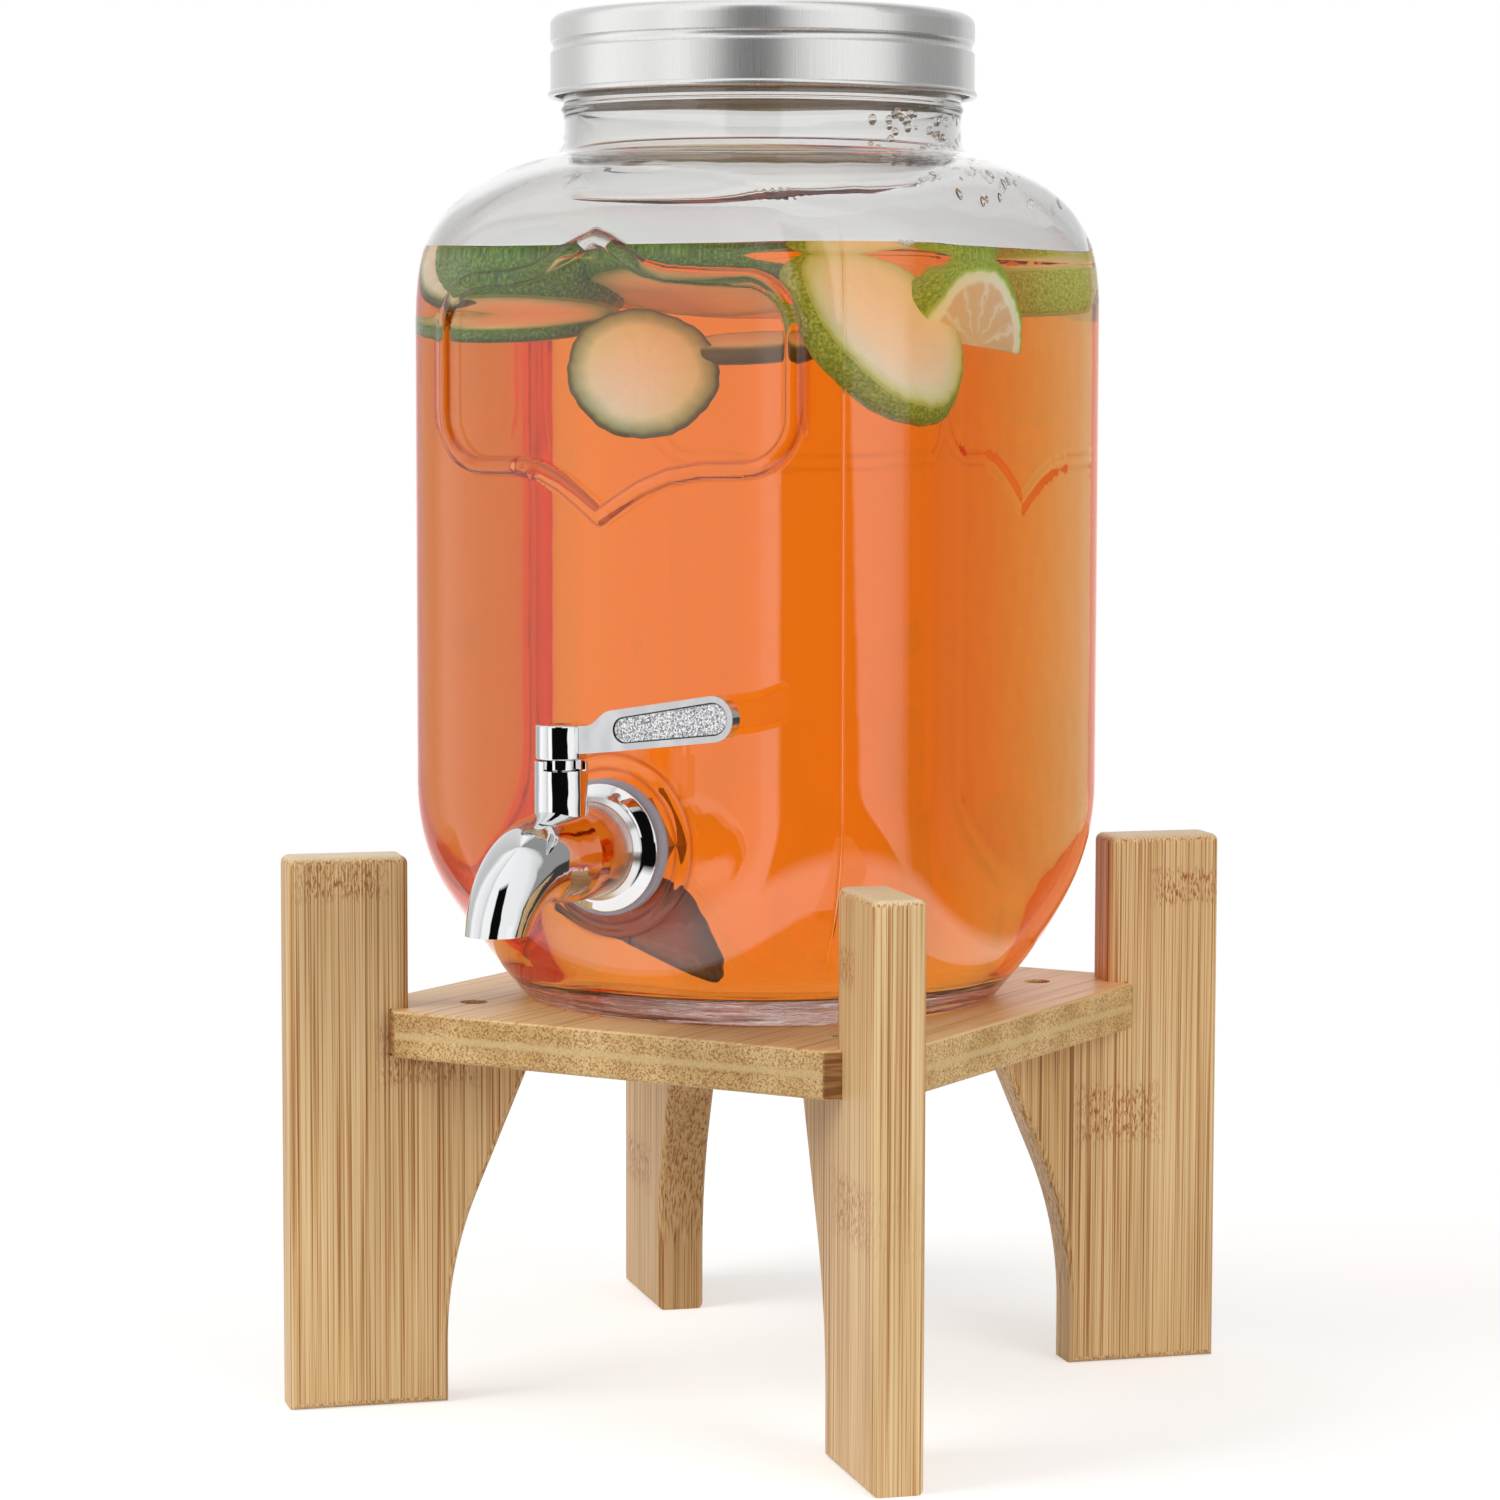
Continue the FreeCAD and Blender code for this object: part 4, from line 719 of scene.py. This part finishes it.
def punch():
    """A clear cold drink: water's bending of light, and a body that takes out blue and much of the green
    over its depth of some 15 cm. Lamps reach into it."""
    material, add = new_nodes("orange_punch")
    liquid = add("BsdfPrincipled", Base_Color="FFFFFF", Roughness=0.0, IOR=1.33, Transmission_Weight=1.0)
    clear = add("BsdfTransparent")
    path = add("LightPath")
    mixed = add("MixShader", _0=path.outputs["Is Shadow Ray"], _1=liquid, _2=clear)
    body = add("VolumeAbsorption", Color=(0.999, 0.67, 0.02, 1), Density=30.0)
    add("OutputMaterial", Surface=mixed, Volume=body)
    return material


show("drink", ring_mesh("drink", drink_rings(), punch()), "jar")

# Fruit. Slices and wedges of lime float under the drink's top, and one has sunk to the floor. Each has
# a thin green rind, white pith, and pale flesh in eleven segments.
SEGMENTS = 11
FACE_ROWS = 16
RIND_ROWS = 7
SLICE_COLUMNS = 132
# Middle in mm, way the face looks, roll in degrees, radius and thickness in mm, sweep and kind of lime.
FRUIT = (
    ("lime_slice_front", (2, -59.5, 274.6), (0.34, -0.71, 0.62), 0, 19.8, 1.6, 360, "pale"),
    ("lime_slice_corner", (56.5, -45, 284), (0.797, -0.047, 0.6), 0, 25, 8.5, 360, "slice"),
    ("lime_wedge", (58, -11, 284), (0.86, -0.31, -0.38), -6, 21.5, 12, 180, "wedge"),
    ("lime_slice_middle", (8, -41, 298), (0.08, 0.22, 0.97), 0, 27, 6, 360, "deep"),
    ("lime_end_left", (-39, -44, 297.5), (-0.05, 0.1, 0.99), 0, 25, 12, 360, "deep"),
    ("lime_bit_left", (-56.5, -59, 299), (0.3, -0.62, 0.72), 0, 10, 3.5, 360, "pale"),
    ("lime_slice_under", (-43, -40, 287), (0.04, -0.12, 1), 0, 25, 3.8, 360, "deep"),
    ("lime_slice_low", (22, -34, 281), (0.04, -0.14, 1), 0, 16.5, 4.5, 360, "pale"),
    ("lime_end_right", (47, 42, 297), (0.06, -0.05, 0.99), 0, 21, 13, 360, "yellow"),
    ("lime_slice_back", (-6, 12, 296), (-0.1, 0.16, 0.98), 0, 25, 6, 360, "slice"),
    ("lime_slice_far", (-40, 40, 298), (0.06, 0.12, 0.99), 0, 24, 7, 360, "deep"),
    ("lime_half_sunk", (-6, -50, 128.5), (0.3, -0.62, 0.72), -24, 21.5, 3, 180, "shaded"),
)


def lime(name, flesh, rind, walls, glow):
    """Cut lime. By the share of the way from the middle to the rim: a pale core, pulp with paler walls
    between its segments, pith, and rind with fine pores on the outside. It glows a little in its own
    colour: painted light that stands in for light passing through the flesh."""
    material, add = new_nodes(name)
    place = add("TexCoord").outputs["Object"]
    around_out = add("SeparateXYZ", _0=add("UVMap", uv_map="slice"))
    out = around_out.outputs["Y"]
    grain = add("TexNoise", Vector=place, Scale=1 / (3 * MM), Detail=3.0, Roughness=0.6)
    wander = add("Math MULTIPLY_ADD", _0=grain, _1=0.06, _2=out)
    base = add("ValToRGB", _0=wander, stops=flesh)
    turn = add("Math MULTIPLY_ADD", _0=around_out.outputs["X"], _1=float(SEGMENTS), _2=grain)
    turn = add("Math PINGPONG", _0=turn, _1=0.5)
    wall = add("ValToRGB", _0=turn, stops=((0.0, "FFFFFF"), (0.16, "000000")))
    pulp = add("ValToRGB", _0=out,
               stops=((0.1, "000000"), (0.18, "FFFFFF"), (0.75, "FFFFFF"), (0.79, "000000")))
    shown = add("Math MULTIPLY", _0=wall, _1=pulp)
    shown = add("Math MULTIPLY", _0=shown, _1=walls)
    cut = add("Mix RGBA", _0=shown, _6=base, _7="FBF3DF")
    spots = add("TexNoise", Vector=place, Scale=1 / (0.8 * MM), Roughness=0.6)
    green = add("ValToRGB", _0=spots, stops=rind or flesh[-1:] * 2)
    rim = add("Math GREATER_THAN", _0=out, _1=0.915 if rind else 2.0)
    skin = add("Mix RGBA", _0=rim, _6=cut, _7=green)
    bump = add("Bump", Strength=0.5, Distance=0.3 * MM, Height=spots)
    # Painted light: an emission in the cut's own colour stands in for light passing through the flesh.
    fruit = add("BsdfPrincipled", Base_Color=skin, Roughness=0.38, Emission_Color=skin,
                Emission_Strength=glow, Normal=bump)
    add("OutputMaterial", Surface=fruit)
    return material


def slice_mesh(name, middle, facing, roll, radius, thick, sweep, material):
    """A slice carried around its middle, from the roll in degrees: the profile runs from the middle of
    one face over the rounded rind to the middle of the other, and both faces swell a little inside each
    segment. A sweep of 180 degrees leaves a half slice, closed along its cut. The chart holds the turn
    and how far out a point is, with the rind above 0.9."""
    face = np.linspace(0.02, 0.97, FACE_ROWS)
    round_side = np.linspace(0.5, -0.5, RIND_ROWS + 2)[1:-1]
    out = np.concatenate((face, np.ones(RIND_ROWS), face[::-1]))
    lift = np.concatenate((np.full(FACE_ROWS, 0.5), round_side, np.full(FACE_ROWS, -0.5)))
    bulge = np.pad(0.06 * np.cos(round_side * np.pi), FACE_ROWS)
    turn = np.linspace(0, np.radians(sweep), SLICE_COLUMNS, endpoint=sweep != 360)
    wobble = 1 + 0.014 * np.sin(3 * turn + radius) + 0.010 * np.sin(7 * turn + 2 * thick)
    wobble += 0.006 * np.sin(19 * turn) + 0.004 * np.sin(31 * turn + radius)
    reach = radius * MM * (out + bulge)[:, None] * wobble[None, :]
    swell = np.abs(np.sin(turn * SEGMENTS / 2))[None, :] * np.where(out < 0.8, out, 0)[:, None]
    height = lift[:, None] * (thick + 0.8 * swell) * MM
    turn = turn + np.radians(roll)
    normal = Vector(facing).normalized()
    side = Vector((0, 0, 1)).cross(normal)
    side = Vector((1, 0, 0)) if side.length < 0.5 and abs(normal.z) > 0.9 else side.normalized()
    rise = normal.cross(side)
    side, rise, normal, middle = (np.array(v) for v in (side, rise, normal, Vector(middle) * MM))
    points = (middle + (reach * np.cos(turn))[..., None] * side + (reach * np.sin(turn))[..., None] * rise
              + height[..., None] * normal)
    index = np.arange(len(out) * SLICE_COLUMNS).reshape(len(out), -1)
    last = SLICE_COLUMNS if sweep == 360 else SLICE_COLUMNS - 1
    right = np.roll(index, -1, axis=1)[:, :last]
    here = index[:, :last]
    faces = np.stack((here[:-1], here[1:], right[1:], right[:-1]), axis=2).reshape(-1, 4).tolist()
    faces += [index[0].tolist(), index[-1, ::-1].tolist()]
    if sweep != 360:
        faces += [index[:, 0].tolist(), index[::-1, -1].tolist()]
    mesh = new_mesh(name, points, faces, material)
    across = np.concatenate((0.9 * face, 0.9 + 0.1 * np.cos(round_side * np.pi) ** 0.5, 0.9 * face[::-1]))
    chart(mesh, "slice", np.tile(turn / (2 * np.pi), len(out)), np.repeat(across, SLICE_COLUMNS))
    shape = bmesh.new()
    shape.from_mesh(mesh)
    bmesh.ops.recalc_face_normals(shape, faces=shape.faces)
    shape.to_mesh(mesh)
    shape.free()
    return mesh


CREAM = ((0.0, "FFDFCB"), (0.35, "FFDDC4"), (0.66, "FADFC2"), (0.78, "E8DCAE"))
LIMES = {
    "pale": lime("soaked_lime", ((0.0, "FFE0DA"), (0.4, "FCDFD2"), (0.7, "F2DCC0"), (0.84, "B9B488"),
                                 (0.9, "A09A6C"), (0.96, "847A4C"), (1.0, "66552F")), None, 0.0, 0.18),
    "slice": lime("cut_lime", CREAM + ((0.86, "DACF8C"), (0.92, "B9AE50")),
                  ((0.3, "6C7420"), (0.5, "93902E"), (0.7, "BAB248")), 0.06, 0.24),
    "deep": lime("cut_green_lime", CREAM + ((0.86, "C4CC84"), (0.92, "9CAA4C")),
                 ((0.3, "33540F"), (0.5, "557A22"), (0.7, "86A846")), 0.06, 0.12),
    "yellow": lime("ripe_lime", CREAM + ((0.86, "E4DC9C"), (0.92, "D0CC70")),
                   ((0.3, "8CA030"), (0.5, "B6BC4A"), (0.7, "D8D676")), 0.20, 0.22),
    "wedge": lime("fresh_lime", ((0.0, "F6DDB4"), (0.12, "F8D2A8"), (0.74, "F2C898"), (0.79, "FDF3D6"),
                                 (0.87, "F6F2C6"), (0.92, "AFC444")),
                  ((0.3, "6F8E14"), (0.5, "93AC20"), (0.7, "B8C444")), 0.75, 0.20),
    # Painted shade: the sunk half slice takes darkened brown copies of the lime's colours.
    "shaded": lime("painted_shade_lime", ((0.0, "B0681C"), (0.62, "A45E18"), (0.8, "7C5C16"),
                                    (1.0, "42320E")), None, 0.10, 0.03),
}
for name, *cut, look in FRUIT:
    show(name, slice_mesh(name, *cut, LIMES[look]), "jar")

# Drops and foam. A few drops of water cling to the inside of the shoulder and the neck, and a little
# foam floats against the wall.
DROPS = 80
DROP_ARC = (-28.0, 24.0)
DROP_BAND = (318 * MM, 343 * MM)
FOAM_MIDDLE = (71.2, -50.0, 306.9)
FOAM_BALLS = 9
BALL_RINGS = 10
BALL_SIDES = 14


def beads(name, middles, reaches, material):
    """Small round bodies in one mesh: each a ball in rings, squeezed by its own three reaches."""
    high = np.linspace(-0.49, 0.49, BALL_RINGS)[:, None] * np.pi
    turn = np.linspace(0, 2 * np.pi, BALL_SIDES, endpoint=False)
    ball = np.stack((np.cos(high) * np.cos(turn), np.cos(high) * np.sin(turn), np.sin(high) + 0 * turn),
                    axis=2)
    index = np.arange(BALL_RINGS * BALL_SIDES).reshape(BALL_RINGS, BALL_SIDES)
    right = np.roll(index, -1, axis=1)
    quads = np.stack((index[:-1], right[:-1], right[1:], index[1:]), axis=2).reshape(-1, 4)
    points = middles[:, None] + ball.reshape(-1, 3) * reaches[:, None]
    faces = []
    for first in np.arange(len(middles)) * index.size:
        faces += (quads + first).tolist() + [(index[0, ::-1] + first).tolist(), (index[-1] + first).tolist()]
    return new_mesh(name, points, faces, material)


def plain(name, shade, roughness, **sockets):
    """A one-coat material."""
    material, add = new_nodes(name)
    skin = add("BsdfPrincipled", Base_Color=shade, Roughness=roughness, **sockets)
    add("OutputMaterial", Surface=skin)
    return material


chance = np.random.default_rng(7)
drop_turn = np.radians(chance.uniform(*DROP_ARC, DROPS))
drop_high = chance.uniform(*DROP_BAND, DROPS)
wall_line = inner_outline()[::-1]
wall_reach = np.interp(drop_high, wall_line[:, 1], wall_line[:, 0]) - 0.3 * MM
drop_size = chance.uniform(0.35, 1.1, (DROPS, 1)) * MM
drop_middle = np.stack((wall_reach * np.cos(drop_turn), wall_reach * np.sin(drop_turn), drop_high), axis=1)
water = plain("clear_water", "FFFFFF", 0.0, IOR=1.33, Transmission_Weight=1.0)
show("water_drops", beads("water_drops", drop_middle, drop_size * (1, 1, 1.5), water), "jar")

foam_size = chance.uniform(0.45, 0.9, (FOAM_BALLS, 1)) * MM
foam_middle = (np.array(FOAM_MIDDLE) + chance.uniform(-1, 1, (FOAM_BALLS, 3)) * (0.8, 5.5, 0.4)) * MM
foam = plain("white_foam", "F4EEDD", 0.6)
show("foam_bits", beads("foam_bits", foam_middle, foam_size * (1, 1, 0.8), foam), "jar")

# Tap. A cast brass spigot, polished and chromed, with a silicone gasket against the boss, and a plain
# steel nut on its shank inside the jar.
FLANGE_COLUMNS = 192
chrome = metal("polished_chrome", "E6E7E8", 0.035, 0.16, 7 * MM)
casting = metal("chromed_casting", "E6E7E8", 0.035, 0.16, 7 * MM, (-98 * MM, -92 * MM, 0.17))
finish(casting, "spigot_body")
finish(chrome, "valve_plug", "lever_handle")
finish(zinc_steel, "nut_washer", "lock_nut", "stem_retaining_ring", "lever_screw")


def flange_mesh():
    """The flange turned about the tap's axis: a short rim, a cone of some 35 degrees, a small land, and
    the bore and the flat back."""
    low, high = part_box("spigot_flange")
    reach, back, front = (high.z - low.z) / 2, high.y, low.y
    bore, land = 8.2 * MM, 13.6 * MM
    ease = arc((reach - 0.5 * MM, 0.9 * MM), 0.5 * MM, 0, 55, 5)
    outline = np.concatenate((
        [(bore, 0), (reach - 0.3 * MM, 0), (reach, 0.3 * MM)], ease,
        straight(ease[-1], (land + 0.2 * MM, back - front - 0.15 * MM), 6),
        [(land, back - front), (bore + 0.4 * MM, back - front), (bore, back - front - 0.4 * MM)]))
    turn = np.linspace(0, 2 * np.pi, FLANGE_COLUMNS, endpoint=False)
    spin = np.stack((outline[:, :1] * np.cos(turn), back - outline[:, 1:] + 0 * turn,
                     TAP_HEIGHT + outline[:, :1] * np.sin(turn)), axis=2)
    index = np.arange(len(outline) * FLANGE_COLUMNS).reshape(-1, FLANGE_COLUMNS)
    up, side = np.roll(index, -1, axis=0), np.roll(index, -1, axis=1)
    quads = np.stack((index, up, np.roll(up, -1, axis=1), side), axis=2).reshape(-1, 4)
    mesh = new_mesh("spigot_flange_turned", spin, quads.tolist(), chrome)
    mesh.set_sharp_from_angle(angle=np.radians(40))
    return mesh


flange = show("spigot_flange_turned", flange_mesh(), "jar")
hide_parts("spigot_flange")

LEVER_LOW = 178.2 * MM
PAD_ENDS = ((19.6 * MM, LEVER_LOW + 8.2 * MM, 3.3 * MM), (45 * MM, LEVER_LOW + 12 * MM, 4.1 * MM))
PAD_FLOOR = 1.33 * MM
STEM_Y = -100.7 * MM
PAD_END_POINTS = 24


def stippled_metal():
    """The pads' cast stipple under the chrome: grey and white grains in its colour, painted glints of the
    stipple catching light, and painted shade along the edge where the floor meets the wall."""
    material, add = new_nodes("stippled_chrome")
    place = add("TexCoord").outputs["Object"]
    grain = add("TexNoise", Vector=place, Scale=1 / (0.45 * MM), Roughness=0.7)
    # Painted glints: grey and white grains stand in for the stipple catching light.
    tone = add("ValToRGB", _0=grain, stops=((0.4, "78787C"), (0.49, "C2C2C6"), (0.58, "FFFFFF")))
    out = add("SeparateXYZ", _0=add("UVMap", uv_map="pad")).outputs["X"]
    # Painted shade in a ring along the pad's edge, where the floor meets the wall.
    edge = add("ValToRGB", _0=out,
               stops=((0.0, "FFFFFF"), (0.86, "FFFFFF"), (0.95, "3A3A3C"), (1.0, "2A2A2C")))
    skin = add("Mix RGBA", blend_type="MULTIPLY", _0=1.0, _6=tone, _7=edge)
    bump = add("Bump", Strength=0.6, Distance=0.12 * MM, Height=grain)
    metal_skin = add("BsdfPrincipled", Base_Color=skin, Metallic=0.55, Roughness=0.42, Normal=bump)
    add("OutputMaterial", Surface=metal_skin)
    return material


def pad_mesh():
    """The stippled pads on both sides of the lever: each a flat sheet with two round ends, in rings from
    its middle line out to its edge. The chart runs from 0 in the middle to 1 at the edge."""
    (x0, z0, r0), (x1, z1, r1) = PAD_ENDS
    lean = np.degrees(np.arctan2(z1 - z0, x1 - x0))
    share = np.array([0.02, 0.3, 0.6, 0.86, 0.94, 1.0])
    rings = np.array([np.concatenate((
        arc((x1, z1), r1 * k, lean - 90, lean + 90, PAD_END_POINTS),
        arc((x0, z0), r0 * k, lean + 90, lean + 270, PAD_END_POINTS))) for k in share])
    index = np.arange(rings[..., 0].size).reshape(len(share), -1)
    right = np.roll(index, -1, axis=1)
    quads = np.stack((index[:-1], index[1:], right[1:], right[:-1]), axis=2).reshape(-1, 4)
    points, faces = [], []
    for first, side in ((0, -1), (index.size, 1)):
        faces += (quads[:, ::-side] + first).tolist() + [(index[0, ::-side] + first).tolist()]
        level = np.full(index.shape, STEM_Y + side * PAD_FLOOR)
        points.append(np.stack((rings[..., 0], level, rings[..., 1]), axis=2).reshape(-1, 3))
    mesh = new_mesh("lever_pads", np.concatenate(points), faces, stippled_metal())
    out = np.tile(np.repeat(share, 2 * PAD_END_POINTS), 2)
    chart(mesh, "pad", out, out)
    return mesh


show("lever_pads", pad_mesh(), "lever")


def rubber(name, shade, roughness, clearness=0.0):
    """Moulded rubber or silicone, with the fine matt skin of its mould."""
    material, add = new_nodes(name)
    place = add("TexCoord").outputs["Object"]
    grain = add("TexNoise", Vector=place, Scale=1 / (0.8 * MM))
    bump = add("Bump", Strength=0.1, Distance=0.05 * MM, Height=grain)
    skin = add("BsdfPrincipled", Base_Color=shade, Roughness=roughness, Transmission_Weight=clearness,
               IOR=1.41, Normal=bump)
    add("OutputMaterial", Surface=skin)
    return material


finish(rubber("clear_silicone", "CFC8D2", 0.35, 0.3), "outer_gasket", "inner_gasket")
finish(rubber("nitrile_rubber", "1A1A1B", 0.6), "stem_o_ring_lower", "stem_o_ring_upper")

# Lid. A screw cap drawn from thin stainless sheet, brushed, with a groove, a rolled thread and a curled
# rim, over a soft white liner.
LID_RADIUS = 56.7 * MM
BRUSH_GAP = 0.3 * MM


def brushed_steel():
    """Brushed stainless sheet: fine upright scratches that smear mirror images sideways."""
    material, add = new_nodes("brushed_stainless_sheet")
    parts = add("SeparateXYZ", _0=add("TexCoord").outputs["Object"])
    turn = add("Math ARCTAN2", _0=parts.outputs["Y"], _1=parts.outputs["X"])
    around = add("Math MULTIPLY", _0=turn, _1=LID_RADIUS / BRUSH_GAP)
    up = add("Math MULTIPLY", _0=parts.outputs["Z"], _1=1 / (28 * MM))
    place = add("CombineXYZ", X=around, Y=up)
    scratch = add("TexNoise", Vector=place, Scale=1.0, Roughness=0.6)
    bump = add("Bump", Strength=0.06, Distance=0.1 * MM, Height=scratch)
    rough = add("MapRange", _0=scratch, To_Min=0.22, To_Max=0.36)
    skin = add("BsdfPrincipled", Base_Color="EAEAE9", Metallic=0.82, Roughness=rough, Normal=bump)
    add("OutputMaterial", Surface=skin)
    return material


finish(brushed_steel(), "lid_cap")
finish(rubber("white_liner_foam", "EDECE8", 0.7), "lid_liner")
